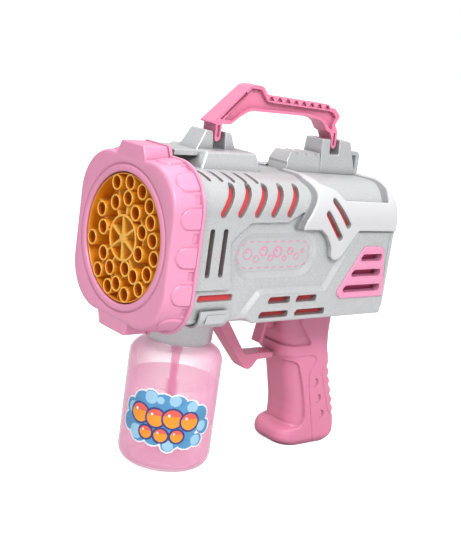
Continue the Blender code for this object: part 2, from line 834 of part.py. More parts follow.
def make_label():
    """Curved sticker facing the front left, with a scalloped cloud edge."""
    middle, spread = 229.0, 58.0
    low, high = -122.0, -86.0
    columns = 18

    def build(bm):
        rings = []
        for i in range(columns + 1):
            share = 2 * i / columns - 1
            angle = math.radians(middle + spread * share)
            edge = (1 - abs(share) ** 2.6) ** 0.5
            half = (high - low) / 2 * max(0.3, edge) + 0.9 * math.cos(share * 14)
            centre_z = (high + low) / 2
            ring = []
            for radius, z in ((0.35, -half), (0.75, -half), (0.75, half), (0.35, half)):
                reach = BOTTLE_RADIUS + radius
                ring.append((BOTTLE_X + reach * math.cos(angle), reach * math.sin(angle), centre_z + z))
            rings.append(ring)
        add_rings(bm, rings)

    new_piece("bottle_label", build, LABEL_BLUE, (BOTTLE_X, 0, BASE))


# Bubble nozzle and its drive

# Angle in degrees from the object's right, and distance from the hub, of each bubble tube
TUBES = (
    (5, 20.1), (59, 20.5), (92, 22.1), (120, 18.1), (158, 18.4), (198, 16.8), (251, 16.8), (296, 20.8),
    (324, 21.0), (26, 25.9), (68, 30.8), (92, 30.9), (115, 30.9), (134, 30.4), (150, 27.2), (170, 27.7),
    (188, 30.7), (208, 29.3), (227, 31.0), (233, 22.8), (256, 30.8), (273, 26.0), (287, 30.8), (312, 30.9),
    (348, 30.5),
)


def tube_places():
    for angle, distance in TUBES:
        yield distance * math.cos(math.radians(angle)), distance * math.sin(math.radians(angle))


def make_nozzle():
    plate_front = NOZZLE_BACK - 1.4
    tube_steps = 12

    def build(bm):
        profile = [
            (0, plate_front), (NOZZLE_RADIUS - 1.0, plate_front), (NOZZLE_RADIUS - 1.0, NOZZLE_FRONT + 0.4),
            (NOZZLE_RADIUS, NOZZLE_FRONT + 0.4), (NOZZLE_RADIUS, NOZZLE_BACK), (0, NOZZLE_BACK),
        ]
        add_turned(bm, profile, "X", (0, 0), 48)

    def posts(bm):
        for y, z in tube_places():
            add_rod(bm, (y, z), TUBE_OUTER, NOZZLE_FRONT, plate_front + 0.6, steps=tube_steps)
        add_rod(bm, (0, 0), HUB_RING_OUTER, NOZZLE_FRONT, plate_front + 0.6, steps=32)

    def bores(bm):
        for y, z in tube_places():
            add_rod(bm, (y, z), TUBE_INNER, NOZZLE_FRONT - 1, NOZZLE_BACK + 1, steps=tube_steps)
        half_spoke = 0.7
        hub = 3.0
        ring = HUB_RING_OUTER - 1.1
        for i in range(SPOKES):
            turn = math.radians(360 / SPOKES * i + 24)
            wedge = []
            for radius, side in ((hub, 1), (ring, 1), (ring, 0), (ring, -1), (hub, -1)):
                if side:
                    off = side * (math.radians(180 / SPOKES) - math.asin(half_spoke / radius))
                else:
                    off = 0
                wedge.append((radius * math.cos(turn + off), radius * math.sin(turn + off)))
            add_prism(bm, wedge, "X", NOZZLE_FRONT - 1, NOZZLE_BACK + 1)

    def shaft_socket(bm):
        add_rod(bm, (0, 0), 1.6, NOZZLE_BACK - 6, NOZZLE_BACK + 1, steps=14)

    nozzle = new_piece("bubble_nozzle", build, AMBER, (0, 0, 0))
    join(nozzle, posts, "tubes")
    cut(nozzle, bores, "bores")
    cut(nozzle, shaft_socket, "shaft_socket")


def gear_outline(teeth, centre, phase):
    """Trapezoid teeth with one tooth centred at the phase angle, in degrees."""
    pitch_radius = GEAR_MODULE * teeth / 2
    tip = pitch_radius + 0.9 * GEAR_MODULE
    root = pitch_radius - 1.2 * GEAR_MODULE
    half_pitch_tooth = (math.pi * GEAR_MODULE / 2 - BACKLASH) / 2
    outline = []
    for tooth in range(teeth):
        middle = math.radians(phase + 360 * tooth / teeth)
        half_root = (half_pitch_tooth + 0.36) / root
        half_tip = (half_pitch_tooth - 0.28) / tip
        for radius, off in ((root, -half_root), (tip, -half_tip), (tip, half_tip), (root, half_root)):
            outline.append((centre[0] + radius * math.cos(middle + off), centre[1] + radius * math.sin(middle + off)))
    return outline


GEAR_FRONT = 29.0
GEAR_REAR = 33.0


def make_gear(name, teeth, centre, phase, bore, look):
    gear = new_piece(
        name, lambda bm: add_prism(bm, gear_outline(teeth, centre, phase), "X", GEAR_FRONT, GEAR_REAR), look,
        (GEAR_FRONT, centre[0], centre[1]),
    )
    if bore:
        cut(gear, lambda bm: add_rod(bm, centre, bore, GEAR_FRONT - 1, GEAR_REAR + 1, steps=14), "bore")
    return gear


def make_nozzle_drive():
    shaft_radius = 1.45
    new_piece(
        "nozzle_shaft", lambda bm: add_rod(bm, (0, 0), shaft_radius, NOZZLE_BACK - 5.5, 39.5, steps=14), STEEL,
        (0, 0, 0),
    )
    make_gear("nozzle_gear", NOZZLE_TEETH, (0, 0), 90, 1.6, NYLON)
    pinion = make_gear("motor_pinion", PINION_TEETH, (0, PINION_HEIGHT), -90 + 180 / PINION_TEETH, 0, NYLON)
    join(pinion, lambda bm: add_rod(bm, (0, PINION_HEIGHT), 1.0, GEAR_REAR - 1, 41.5, steps=12), "spindle")
    make_gear("pump_gear", PUMP_TEETH, (0, PUMP_HEIGHT), 90 + 180 / PUMP_TEETH, 1.6, NYLON)


FRAME_FRONT = 25.0
FRAME_REAR = 38.0
PLATE = 2.0


def make_gearbox_frame():
    plate = [(-20.5, -4), (-14, -31), (14, -31), (20.5, -4), (20.5, 4), (6, 29.5), (-6, 29.5), (-20.5, 4)]
    pillars = ((18.2, 0), (-18.2, 0), (12, -28), (-12, -28), (0, 27))

    def build(bm):
        add_prism(bm, plate, "X", FRAME_FRONT, FRAME_FRONT + PLATE)

    def rest(bm):
        add_prism(bm, plate, "X", FRAME_REAR - PLATE, FRAME_REAR)

    def pillar_rods(bm):
        for centre in pillars:
            add_rod(bm, centre, 2.0, FRAME_FRONT + 0.5, FRAME_REAR - 0.5, steps=12)

    def arms(bm):
        reach = BODY_HALF_WIDTH - DUCT_INSIDE - GAP
        add_box(bm, (FRAME_FRONT + 0.2, -reach, -3), (FRAME_FRONT + PLATE - 0.2, reach, 3))

    def holes(bm):
        add_rod(bm, (0, 0), 1.53, FRAME_FRONT - 1, FRAME_REAR + 1, steps=14)
        add_rod(bm, (0, PUMP_HEIGHT), 1.53, FRAME_FRONT - 1, FRAME_REAR + 1, steps=14)
        add_rod(bm, (0, PINION_HEIGHT), 1.3, FRAME_REAR - PLATE - 1, FRAME_REAR + 1, steps=14)

    frame = new_piece("gearbox_frame", build, WHITE)
    join(frame, pillar_rods, "pillars")
    join(frame, rest, "rear_plate")
    join(frame, arms, "arms")
    cut(frame, holes, "bearings")


PUMP_ROTOR_RADIUS = 8.0


def make_pump():
    centre = (0, PUMP_HEIGHT)

    def rotor(bm):
        outline = []
        for step in range(36):
            angle = 2 * math.pi * step / 36
            radius = PUMP_ROTOR_RADIUS - 1.6 + 1.6 * math.cos(3 * angle)
            outline.append((centre[0] + radius * math.cos(angle), centre[1] + radius * math.sin(angle)))
        add_prism(bm, outline, "X", 42, 48)

    def spindle(bm):
        add_rod(bm, centre, 1.45, FRAME_FRONT - 1, 43, steps=14)

    def housing(bm):
        start = FRAME_REAR + GAP
        profile = [(2.2, start), (11.6, start), (11.6, 50), (10.6, 50), (10.6, 39.8), (2.2, 39.8)]
        add_turned(bm, profile, "X", centre, 28)

    def tube_way(bm):
        add_box(bm, (41, -9.5, PUMP_HEIGHT - 14), (52, 9.5, PUMP_HEIGHT - 5))

    pump_rotor = new_piece("pump_rotor", rotor, NYLON, (42, 0, PUMP_HEIGHT))
    join(pump_rotor, spindle, "spindle")
    pump_housing = new_piece("pump_housing", housing, WHITE)
    cut(pump_housing, tube_way, "tube_way")


def smooth_route(points, spacing):
    """Points about spacing apart on a Catmull-Rom curve through the given ones."""
    control = [Vector(point) for point in points]
    control = [2 * control[0] - control[1]] + control + [2 * control[-1] - control[-2]]
    route = []
    for i in range(1, len(control) - 2):
        before, start, end, after = control[i - 1:i + 3]
        count = max(1, round((end - start).length / spacing))
        for step in range(count):
            t = step / count
            route.append(0.5 * (
                2 * start + (end - before) * t + (2 * before - 5 * start + 4 * end - after) * t ** 2
                + (3 * start - before - 3 * end + after) * t ** 3
            ))
    route.append(control[-2])
    return route


def make_flex(name, points, radius, spacing, look):
    """A tube or insulated lead along a smooth route."""
    curve = bpy.data.curves.new(name, "CURVE")
    curve.dimensions = "3D"
    curve.bevel_depth = radius * MM
    curve.bevel_resolution = 1
    curve.use_fill_caps = True
    spline = curve.splines.new("POLY")
    route = [to_part(point) for point in smooth_route(points, spacing)]
    spline.points.add(len(route) - 1)
    for target, point in zip(spline.points, route):
        target.co = (*point, 1)
    curve.materials.append(material_of(name + "_finish", look))
    obj = bpy.data.objects.new(name, curve)
    bpy.context.scene.collection.objects.link(obj)
    return obj


def make_solution_tube():
    """Hose from the dip tube, round the pump rotor and up to the top of the nozzle."""
    loop_radius = 9.3
    points = [(BOTTLE_X, 0, -36.2), (BOTTLE_X, 1.0, -34.0), (48.2, 3.4, -31.6)]
    for step in range(9):
        angle = math.radians(-50 + 280 * step / 8)
        y, z = loop_radius * math.cos(angle), loop_radius * math.sin(angle)
        points.append((47.4 - 3 * step / 8, y, PUMP_HEIGHT + z))
    points += [
        (43.6, -9.5, -31.8), (43.4, -15, -30), (43, -20, -20), (42.5, -23, -2), (40, -21, 16), (34, -15, 28),
        (28, -9, 32.6), (22, -3, 33.6), (17, 0, 32.4),
    ]
    make_flex("solution_tube", points, 1.0, 3.0, CLEAR_PINK)


def make_can_motor(name, front, rear, centre, radius, vent):
    """Small can motor with flat sides and a shaft hole in its nose."""
    def build(bm):
        outline = []
        for y, z in arc((0, 0), radius, 0, 360, 28)[:-1]:
            outline.append((centre[0] + y, centre[1] + max(-0.78 * radius, min(0.78 * radius, z))))
        add_prism(bm, outline, "X", front, rear)

    def nose_hole(bm):
        add_rod(bm, centre, vent, front - 2, front + 5, steps=14)

    motor = new_piece(name, build, STEEL)
    cut(motor, nose_hole, "nose_hole")


FAN_FRONT = 119.0
FAN_REAR = 129.0
FAN_MOTOR_FRONT = 132.5


def make_fan():
    def hub(bm):
        add_rod(bm, (0, 0), 7.0, FAN_FRONT, FAN_REAR, steps=24)

    def blades(bm):
        thickness = 1.0
        lean = 0.45
        for blade in range(FAN_BLADES):
            rings = []
            for radius in (6.0, FAN_RADIUS - 0.8):
                half = 3.6 if radius < 10 else 4.4
                twist = lean if radius > 10 else lean * 0.8
                ring = []
                for x_off, t_off in ((-half, -thickness), (-half, 0), (half, thickness), (half, 0)):
                    angle = 2 * math.pi * blade / FAN_BLADES + (x_off * math.tan(twist) + t_off) / radius
                    x = (FAN_FRONT + FAN_REAR) / 2 + x_off
                    ring.append((x, radius * math.cos(angle), radius * math.sin(angle)))
                rings.append(ring)
            add_rings(bm, rings)

    impeller = new_piece("fan_impeller", hub, WHITE, (FAN_FRONT, 0, 0))
    join(impeller, blades, "blades")
    cut(impeller, lambda bm: add_rod(bm, (0, 0), 1.1, FAN_FRONT + 2, FAN_REAR + 2, steps=14), "bore")
    new_piece("fan_shaft", lambda bm: add_rod(bm, (0, 0), 1.0, FAN_FRONT + 2.4, FAN_MOTOR_FRONT + 3.5, steps=14), STEEL,
              (FAN_FRONT, 0, 0))
    make_can_motor("fan_motor", FAN_MOTOR_FRONT, 156, (0, 0), MOTOR_RADIUS, 1.3)


def make_fan_shroud():
    front = DUCT_REAR + GAP
    ring_inner, ring_outer = FAN_RADIUS + 0.8, FAN_RADIUS + 2.4
    arm_front, arm_rear = 131.0, 133.5
    cradle = MOTOR_RADIUS + GAP

    def build(bm):
        profile = [
            (ring_inner, front), (ring_outer, front), (ring_outer, arm_rear), (ring_inner, arm_rear),
        ]
        add_turned(bm, profile, "X", (0, 0), 36)

    def cradle_ring(bm):
        profile = [(cradle, arm_front), (cradle + 2, arm_front), (cradle + 2, 140), (cradle, 140)]
        add_turned(bm, profile, "X", (0, 0), 24)

    def arms(bm):
        for angle in (30, 150, 270):
            turn = math.radians(angle)
            along = Vector((math.cos(turn), math.sin(turn)))
            across = Vector((-along.y, along.x)) * 1.5
            near, far = along * (cradle + 1), along * (ring_inner + 0.8)
            outline = [tuple(near - across), tuple(far - across), tuple(far + across), tuple(near + across)]
            add_prism(bm, outline, "X", arm_front + 0.3, arm_rear - 0.3)

    shroud = new_piece("fan_shroud", build, BLACK)
    join(shroud, arms, "arms")
    join(shroud, cradle_ring, "cradle")


# Grip, trigger and batteries

GRIP_LEVELS = (
    # height, front line, rear line
    (GRIP_TOP, 118.5, 160.0), (-60.0, 118.5, 160.0), (-66.5, 120.6, 160.8), (-68.0, 121.4, 161.0),
    (-73.5, 121.6, 162.2), (-75.5, 124.6, 163.0), (-94.0, 130.0, 168.2), (-108.0, 133.8, 173.4),
    (-122.5, 134.8, 177.4), (-124.5, 130.0, 177.8), (-129.0, 128.2, 178.0), (-133.2, 129.6, 175.0),
    (BASE, 132.0, 171.5),
)


def grip_half(front, rear, inset):
    """Right half of the grip's section, from the middle of its front to the middle of its back, as (x, y)."""
    width = GRIP_HALF_WIDTH - inset
    front_corner, rear_corner = 11.0 - inset, 8.0 - inset
    path = [(front + inset, GAP / 2)]
    path += arc((front + inset + front_corner, width - front_corner), front_corner, 180, 90, 6)
    path += arc((rear - inset - rear_corner, width - rear_corner), rear_corner, 90, 0, 5)
    path.append((rear - inset, GAP / 2))
    return path


GRIP_SCREWS = ((128.5, -66.0), (153.0, -69.5))


def make_grip_shell(name, side):
    def build(bm):
        rings = []
        for z, front, rear in GRIP_LEVELS:
            path = grip_half(front, rear, 0) + grip_half(front, rear, GRIP_WALL)[::-1]
            rings.append(mirrored([(x, y, z) for x, y in path], side))
        add_rings(bm, rings)

    def bosses(bm):
        for x, z in GRIP_SCREWS:
            ends = sorted((GAP / 2 * side, (GRIP_HALF_WIDTH - 0.6) * side))
            add_rod(bm, (x, z), 3.2, *ends, axis="Y", steps=12)

    def screw_holes(bm):
        for x, z in GRIP_SCREWS:
            if side > 0:
                add_rod(bm, (x, z), 1.5, -1, 9, axis="Y", steps=12)
                add_rod(bm, (x, z), 2.5, 8, GRIP_HALF_WIDTH + 4, axis="Y", steps=12)
            else:
                add_rod(bm, (x, z), 1.25, -11, 1, axis="Y", steps=12)

    def stem_way(bm):
        add_box(bm, (114, -3.5, -58.5), (124, 3.5, -49.5))

    def door_lug(bm):
        """Half of the lug that the battery door's screw enters, level with the door's inside."""
        y_low, y_high = sorted((GAP / 2 * side, 3.2 * side))
        add_box(bm, (163.2, y_low, -132.4), (176.0, y_high, -129.5))

    def lug_hole(bm):
        add_rod(bm, (DOOR_SCREW_X, 0), 1.6, -137, -125, axis="Z", steps=12)

    grip = new_piece(name, build, PINK)
    join(grip, bosses, "bosses")
    join(grip, door_lug, "door_lug")
    cut(grip, lug_hole, "lug_hole")
    cut(grip, screw_holes, "screw_holes")
    cut(grip, stem_way, "stem_way")


def make_guard():
    def build(bm):
        outline = [
            (69.0, -49.0), (69.0, GRIP_TOP), (74.2, GRIP_TOP), (85.4, -56.5), (97.2, -72.4), (98.4, -73.0),
            (118.0, -73.2),
            (118.0, -77.4), (108.8, -77.4), (104.6, -82.2), (102.4, -83.4), (99.0, -82.6), (96.2, -80.0),
        ]
        add_prism(bm, outline, "Y", -GUARD_HALF_WIDTH, GUARD_HALF_WIDTH)

    def tip(bm):
        add_box(bm, (117, -GUARD_HALF_WIDTH, -77.0), (120.2, GUARD_HALF_WIDTH, -73.6))

    guard = new_piece("trigger_guard", build, PINK)
    join(guard, tip, "tip")


def make_trigger():
    half_width = 4.0

    def build(bm):
        front = [(112.8, -42.4), (111.6, -50), (110.8, -57), (109.7, -63), (108.8, -67.2)]
        rear = [(111.4, -68.0), (112.4, -63), (113.4, -57), (114.2, -50), (115.2, -42.4)]
        add_prism(bm, front + rear, "Y", -half_width, half_width)

    def stem(bm):
        add_box(bm, (112.6, -3, -58), (131, 3, -50))

    trigger = new_piece("trigger", build, PINK, (112, 0, -54))
    join(trigger, stem, "stem")


SPRING_FRONT = 131.3
SPRING_REAR = 139.6


def make_trigger_spring():
    turns, steps, radius, wire = 5, 9, 2.3, 0.35
    curve_points = []
    for step in range(turns * steps + 1):
        angle = 2 * math.pi * step / steps
        share = step / (turns * steps)
        x = SPRING_FRONT + wire + (SPRING_REAR - SPRING_FRONT - 2 * wire) * share
        curve_points.append((x, radius * math.cos(angle), -54 + radius * math.sin(angle)))
    curve = bpy.data.curves.new("trigger_spring", "CURVE")
    curve.dimensions = "3D"
    curve.bevel_depth = wire * MM
    curve.bevel_resolution = 0
    curve.use_fill_caps = True
    spline = curve.splines.new("POLY")
    spline.points.add(len(curve_points) - 1)
    for target, point in zip(spline.points, curve_points):
        target.co = (*to_part(point), 1)
    curve.materials.append(material_of("trigger_spring_finish", STEEL))
    obj = bpy.data.objects.new("trigger_spring", curve)
    bpy.context.scene.collection.objects.link(obj)


def make_trigger_switch():
    def build(bm):
        add_box(bm, (139.9, -3.2, -58.5), (150, 3.2, -49.5))

    def terminals(bm):
        for z in (-57, -51.5):
            add_box(bm, (149.5, -1, z), (153, 1, z + 0.6))

    def plunger(bm):
        add_rod(bm, (0, -54), 1.2, SPRING_FRONT + TRIGGER_TRAVEL, 141, steps=12)

    switch = new_piece("trigger_switch", build, BLACK)
    join(switch, plunger, "plunger")
    join(switch, terminals, "terminals")


def make_batteries():
    lean = (math.sin(CELL_LEAN), 0, -math.cos(CELL_LEAN))
    back = Vector((math.cos(CELL_LEAN), 0, math.sin(CELL_LEAN))) * (2 * CELL_RADIUS + 0.4)
    front_top = Vector(CELL_TOP)
    offset = CELL_RADIUS + 0.2
    number = 1
    for row in (0, 1):
        for side in (-1, 1):
            top = front_top + back * row + Vector((0, offset * side, 0))
            nub = top - Vector(lean) * 1.0
            cell = new_piece(
                f"aa_cell_{number}",
                lambda bm, start=top: add_leaning_rod(bm, tuple(start), lean, CELL_RADIUS, CELL_LENGTH - 1, 18),
                CELL_BLUE,
            )
            join(cell, lambda bm, start=nub: add_leaning_rod(bm, tuple(start), lean, 2.6, 1.6, 12), "nub")
            number += 1


def leaning_plate(bm, lift, thickness, front, rear):
    """A plate square to the cells, lifted along their axis from the front cell's top."""
    down = Vector((math.sin(CELL_LEAN), 0, -math.cos(CELL_LEAN)))
    along = Vector((math.cos(CELL_LEAN), 0, math.sin(CELL_LEAN)))
    start = Vector(CELL_TOP) - down * lift
    corners = []
    for level in (0, -thickness):
        for reach, y in ((front, -13.4), (rear, -13.4), (rear, 13.4), (front, 13.4)):
            corners.append(tuple(start + along * reach + down * level + Vector((0, y, 0))))
    add_rings(bm, [corners[:4], corners[4:]])


def make_battery_contacts():
    new_piece("upper_battery_contact", lambda bm: leaning_plate(bm, 1.4, 0.6, -4.0, 19.0), STEEL)
    new_piece(
        "lower_battery_contact",
        lambda bm: add_box(bm, (139, -12.5, -132.3), (162.6, 12.5, -131.9)), STEEL,
    )


DOOR_TOP = -132.75
DOOR_BOTTOM = -134.65
DOOR_SCREW_X = 165.6
DOOR_HINGE_X = 135.2
DOOR_SEAT = -133.7


def make_battery_door():
    barrel = 1.0
    hinge = (DOOR_HINGE_X, 0, DOOR_SEAT)

    def build(bm):
        inset = GRIP_WALL + 0.8
        path = grip_half(DOOR_HINGE_X - inset, 171.5, inset)[1:-1]
        outline = path + [(x, -y) for x, y in reversed(path)]
        add_prism(bm, outline, "Z", DOOR_BOTTOM, DOOR_TOP)

    def hinge_barrel(bm):
        add_rod(bm, (hinge[0], hinge[2]), barrel, -5, 5, axis="Y", steps=16)

    def screw_hole(bm):
        add_rod(bm, (DOOR_SCREW_X, 0), 1.4, -137, -130, axis="Z", steps=12)
        add_rod(bm, (DOOR_SCREW_X, 0), 2.7, -137, DOOR_SEAT, axis="Z", steps=12)

    door = new_piece("battery_door", build, PINK, hinge)
    join(door, hinge_barrel, "hinge_barrel")
    cut(door, screw_hole, "screw_hole")


def add_screw(bm, axis, centre, head, tip, head_radius, shank_radius, thickness=1.5):
    """A screw from its head's top to its tip, with the driver slot left out."""
    way = 1 if tip > head else -1
    under = head + way * thickness
    profile = [
        (0, head), (head_radius, head), (head_radius, under), (shank_radius, under), (shank_radius, tip), (0, tip),
    ]
    add_turned(bm, profile, axis, centre, 12)


def make_screws():
    for number, (x, z) in enumerate(SHELL_SCREWS, 1):
        head = SCREW_SEAT + 0.2 + 1.5
        new_piece(
            f"shell_screw_{number}",
            lambda bm, at=(x, z), top=head: add_screw(bm, "Y", at, top, -9.0, 2.3, 1.2), STEEL,
        )
    for number, (x, z) in enumerate(GRIP_SCREWS, 1):
        head = 8 + 0.2 + 1.5
        new_piece(
            f"grip_screw_{number}",
            lambda bm, at=(x, z), top=head: add_screw(bm, "Y", at, top, -8.0, 2.2, 1.1), STEEL,
        )
    new_piece(
        "battery_door_screw",
        lambda bm: add_screw(bm, "Z", (DOOR_SCREW_X, 0), DOOR_BOTTOM, -129.9, 2.4, 1.1, DOOR_SEAT - DOOR_BOTTOM - 0.1),
        STEEL,
        (DOOR_SCREW_X, 0, DOOR_BOTTOM),
    )


def make_electrics():
    board_y = 17.0

    def board(bm):
        add_box(bm, (136, board_y, -24), (160, board_y + 1.6, -6))

    def capacitor(bm):
        add_rod(bm, (148, -14), 3.0, board_y + 1.0, board_y + 8, axis="Y", steps=14)

    circuit = new_piece("circuit_board", board, BOARD_GREEN)
    join(circuit, capacitor, "capacitor")
    wire = 0.8
    make_flex(
        "battery_lead",
        [(147.4, 0, -76.8), (146.6, 3.0, -70), (147.5, 5.6, -62), (LEAD_HOLE_X, 5.6, -53), (LEAD_HOLE_X, 0, -42),
         (LEAD_HOLE_X, 0, -36), (154, 7, -29), (151, 13, -24), (148, 15.6, -19)],
        wire, 3.5, BLACK,
    )
    make_flex(
        "fan_lead",
        [(157, 2, 0), (160, 6, -4), (160, 12, -10), (156.5, 15.6, -12)],
        wire, 3.0, BLACK,
    )
    make_flex(
        "pump_lead",
        [(61, 4, PINION_HEIGHT), (70, 14, 22), (90, 21, 28), (112, 22, 30), (119, 22.2, 30), (127, 25, 25),
         (138, 23, 10), (141, 21, -4), (142, 19.6, -9)],
        wire, 5.0, BLACK,
    )


def clear_scene():
    for obj in list(bpy.data.objects):
        bpy.data.objects.remove(obj)


def main():
    clear_scene()
    for side, word in ((-1, "left"), (1, "right")):
        make_shell(f"{word}_shell", side)
        make_armor(f"{word}_armor_plate", side)
        make_vent(f"{word}_vent_grille", side)
        make_grip_shell(f"{word}_grip_shell", side)
    make_rear_cover()
    make_bezel()
    make_duct()
    make_belly_plate()
    make_front_mount()
    make_rear_mount()
    make_top_rail()
    make_handle()
    make_socket()
    make_dip_tube()
    make_gasket()
    make_bottle()
    make_solution()
    make_label()
    make_nozzle()
    make_nozzle_drive()
    make_gearbox_frame()
    make_pump()
    make_solution_tube()
    make_can_motor("pump_motor", FRAME_REAR + GAP, 60, (0, PINION_HEIGHT), 9.0, 1.3)
    make_fan()
    make_fan_shroud()
    make_guard()
    make_trigger()
    make_trigger_spring()
    make_trigger_switch()
    make_batteries()
    make_battery_contacts()
    make_battery_door()
    make_screws()
    make_electrics()


main()
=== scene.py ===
"""Looks of the toy bubble blaster: moulded relief, bevelled pieces, plastics, print, light and camera.

Shapes are written in the design's millimetres: x back from the muzzle, y to the right, z up from the barrel
axis. place() turns them into metres in the CAD frame.
"""

import math

import bmesh
import bpy
import numpy as np
from mathutils import Matrix, Vector


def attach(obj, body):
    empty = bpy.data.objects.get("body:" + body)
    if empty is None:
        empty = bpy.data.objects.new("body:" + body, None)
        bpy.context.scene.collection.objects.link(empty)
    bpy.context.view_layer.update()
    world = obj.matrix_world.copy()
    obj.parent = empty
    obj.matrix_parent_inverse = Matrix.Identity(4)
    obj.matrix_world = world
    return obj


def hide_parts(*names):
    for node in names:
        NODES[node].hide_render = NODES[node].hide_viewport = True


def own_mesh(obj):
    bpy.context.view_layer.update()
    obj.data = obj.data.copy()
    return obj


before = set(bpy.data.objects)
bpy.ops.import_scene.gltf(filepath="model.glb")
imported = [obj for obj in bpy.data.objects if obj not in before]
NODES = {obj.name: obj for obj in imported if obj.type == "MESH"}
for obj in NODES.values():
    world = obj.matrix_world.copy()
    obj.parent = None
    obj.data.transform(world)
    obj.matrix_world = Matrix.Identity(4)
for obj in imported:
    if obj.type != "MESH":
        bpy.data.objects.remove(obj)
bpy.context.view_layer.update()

LENGTH = 178.0
AXIS_HEIGHT = 135.0
BODY_FRONT, BODY_REAR = 18.5, 165.5
HALF_WIDTH = 45.0
TOP_FRONT, TOP_REAR, BOTTOM = 42.2, 39.0, -38.5
TOP_RADIUS, BOTTOM_RADIUS = 22.0, 6.0
BOTTLE_X, BOTTLE_RADIUS = 48.5, 27.3
SIDES = ((-1, "left"), (1, "right"))


def place(points):
    """Design millimetres to metres in the CAD frame, for an array of points."""
    return (np.asarray(points, float) + (-LENGTH / 2, 0, AXIS_HEIGHT)) / 1000


# Materials

def linear(colour):
    return tuple((c / 255 / 12.92) if c <= 10 else ((c / 255 + 0.055) / 1.055) ** 2.4 for c in colour)


def node(tree, kind, **inputs):
    made = tree.nodes.new(kind)
    for name, value in inputs.items():
        made.inputs[name.replace("_", " ")].default_value = value
    return made


def noise(tree, scale, detail):
    made = node(tree, "ShaderNodeTexNoise", Scale=scale, Detail=detail)
    tree.links.new(tree.nodes.new("ShaderNodeTexCoord").outputs["Object"], made.inputs["Vector"])
    return made.outputs["Fac"]


def remap(tree, source, **ends):
    """A value carried from one range to another."""
    made = node(tree, "ShaderNodeMapRange", **ends)
    tree.links.new(source, made.inputs["Value"])
    return made.outputs["Result"]


def two_tone(tree, source, positions, tones):
    """A value turned into a blend of two tones."""
    ramp = tree.nodes.new("ShaderNodeValToRGB")
    for element, position, tone in zip(ramp.color_ramp.elements, positions, tones):
        element.position = position
        element.color = (*tone, 1)
    tree.links.new(source, ramp.inputs["Fac"])
    return ramp.outputs["Color"]


def multiplied(tree, colour, factor):
    mix = tree.nodes.new("ShaderNodeMix")
    mix.data_type = "RGBA"
    mix.blend_type = "MULTIPLY"
    mix.inputs[0].default_value = 1.0
    tree.links.new(colour, mix.inputs[6])
    tree.links.new(factor, mix.inputs[7])
    return mix.outputs[2]


FLAKE_SCALE = 2600.0
# How far the painted shade in hollows reaches, in metres
PAINTED_SHADE_REACH = 0.006


def plastic(name, colour, rough=0.35, vary=0.04, scale=60.0, bump=0.02, bump_scale=900.0, metallic=0.0,
            flake=0.0, coat=0.0, scatter=0.0, alpha=None, edge_alpha=None, painted_glow=0.0, painted_shade=0.0):
    """Moulded plastic: soft colour drift, uneven gloss and a fine moulded grain.

    flake adds metallic specks, painted shade darkens hollows, a painted glow lights it, alpha and edge_alpha
    let light through.
    """
    material = bpy.data.materials.new(name)
    material.use_nodes = True
    tree = material.node_tree
    shader = tree.nodes["Principled BSDF"]
    base = linear(colour)
    # Emission Strength is painted light: it makes a part glow in its own colour
    settings = {
        "Metallic": metallic, "Coat Weight": coat, "Coat Roughness": 0.12, "Emission Color": (*base, 1),
        "Emission Strength": painted_glow, "Subsurface Weight": scatter, "Subsurface Radius": (0.004, 0.002, 0.002),
        "Subsurface Scale": 1.0,
    }
    for key, value in settings.items():
        shader.inputs[key].default_value = value
    drift = noise(tree, scale, 3.0)
    tones = [[min(1, c * share) for c in base] for share in (1 - vary, 1 + vary)]
    paint = two_tone(tree, drift, (0.3, 0.7), tones)
    if flake:
        greys = [(share,) * 3 for share in (1 - flake, 1 + flake)]
        paint = multiplied(tree, paint, two_tone(tree, noise(tree, FLAKE_SCALE, 1.0), (0.35, 0.65), greys))
    # Painted shade: an ambient occlusion pass darkens the base colour in hollows, creases and recesses
    if painted_shade:
        hollow = node(tree, "ShaderNodeAmbientOcclusion", Distance=PAINTED_SHADE_REACH)
        hollow.samples = 6
        shade = remap(tree, hollow.outputs["AO"], From_Min=0.35, From_Max=0.95, To_Min=1 - painted_shade)
        paint = multiplied(tree, paint, shade)
    tree.links.new(paint, shader.inputs["Base Color"])
    tree.links.new(remap(tree, drift, To_Min=rough * 0.9, To_Max=rough * 1.12), shader.inputs["Roughness"])
    relief = node(tree, "ShaderNodeBump", Strength=bump, Distance=0.0004)
    tree.links.new(noise(tree, bump_scale, 2.0), relief.inputs["Height"])
    tree.links.new(relief.outputs["Normal"], shader.inputs["Normal"])
    if alpha is not None:
        facing = node(tree, "ShaderNodeLayerWeight", Blend=0.45)
        fade = remap(tree, facing.outputs["Facing"], To_Min=alpha, To_Max=edge_alpha)
        tree.links.new(fade, shader.inputs["Alpha"])
    return material


# The pinks, silver and white carry painted shade in their hollows
PINK = plastic("pink_plastic", (232, 150, 184), 0.34, 0.015, coat=0.2, scatter=0.05, painted_shade=0.45)
HANDLE_PINK = plastic("handle_pink_plastic", (228, 130, 164), 0.34, 0.015, coat=0.2, scatter=0.05,
                      painted_shade=0.3)
GRIP_PINK = plastic("grip_pink_plastic", (222, 132, 164), 0.42, 0.015, bump=0.05, scatter=0.05, painted_shade=0.5)
SILVER = plastic("silver_plastic", (206, 207, 208), 0.34, 0.01, metallic=0.5, flake=0.12, bump=0.06,
                 bump_scale=2200, painted_shade=0.6)
WHITE = plastic("white_plastic", (204, 204, 206), 0.36, 0.008, bump=0.03, painted_shade=0.5)
BAND_GREY = plastic("grey_band_plastic", (134, 134, 138), 0.4, 0.01, bump=0.03)
RED = plastic("red_liner_plastic", (204, 56, 62), 0.45, 0.03)
# A darker copy of the red liner: painted shade for the deep, narrow upright slots
SHADED_RED = plastic("shaded_red_plastic", (150, 38, 48), 0.5, 0.05)
ROSE = plastic("dark_rose_plastic", (206, 76, 122), 0.5, 0.04)
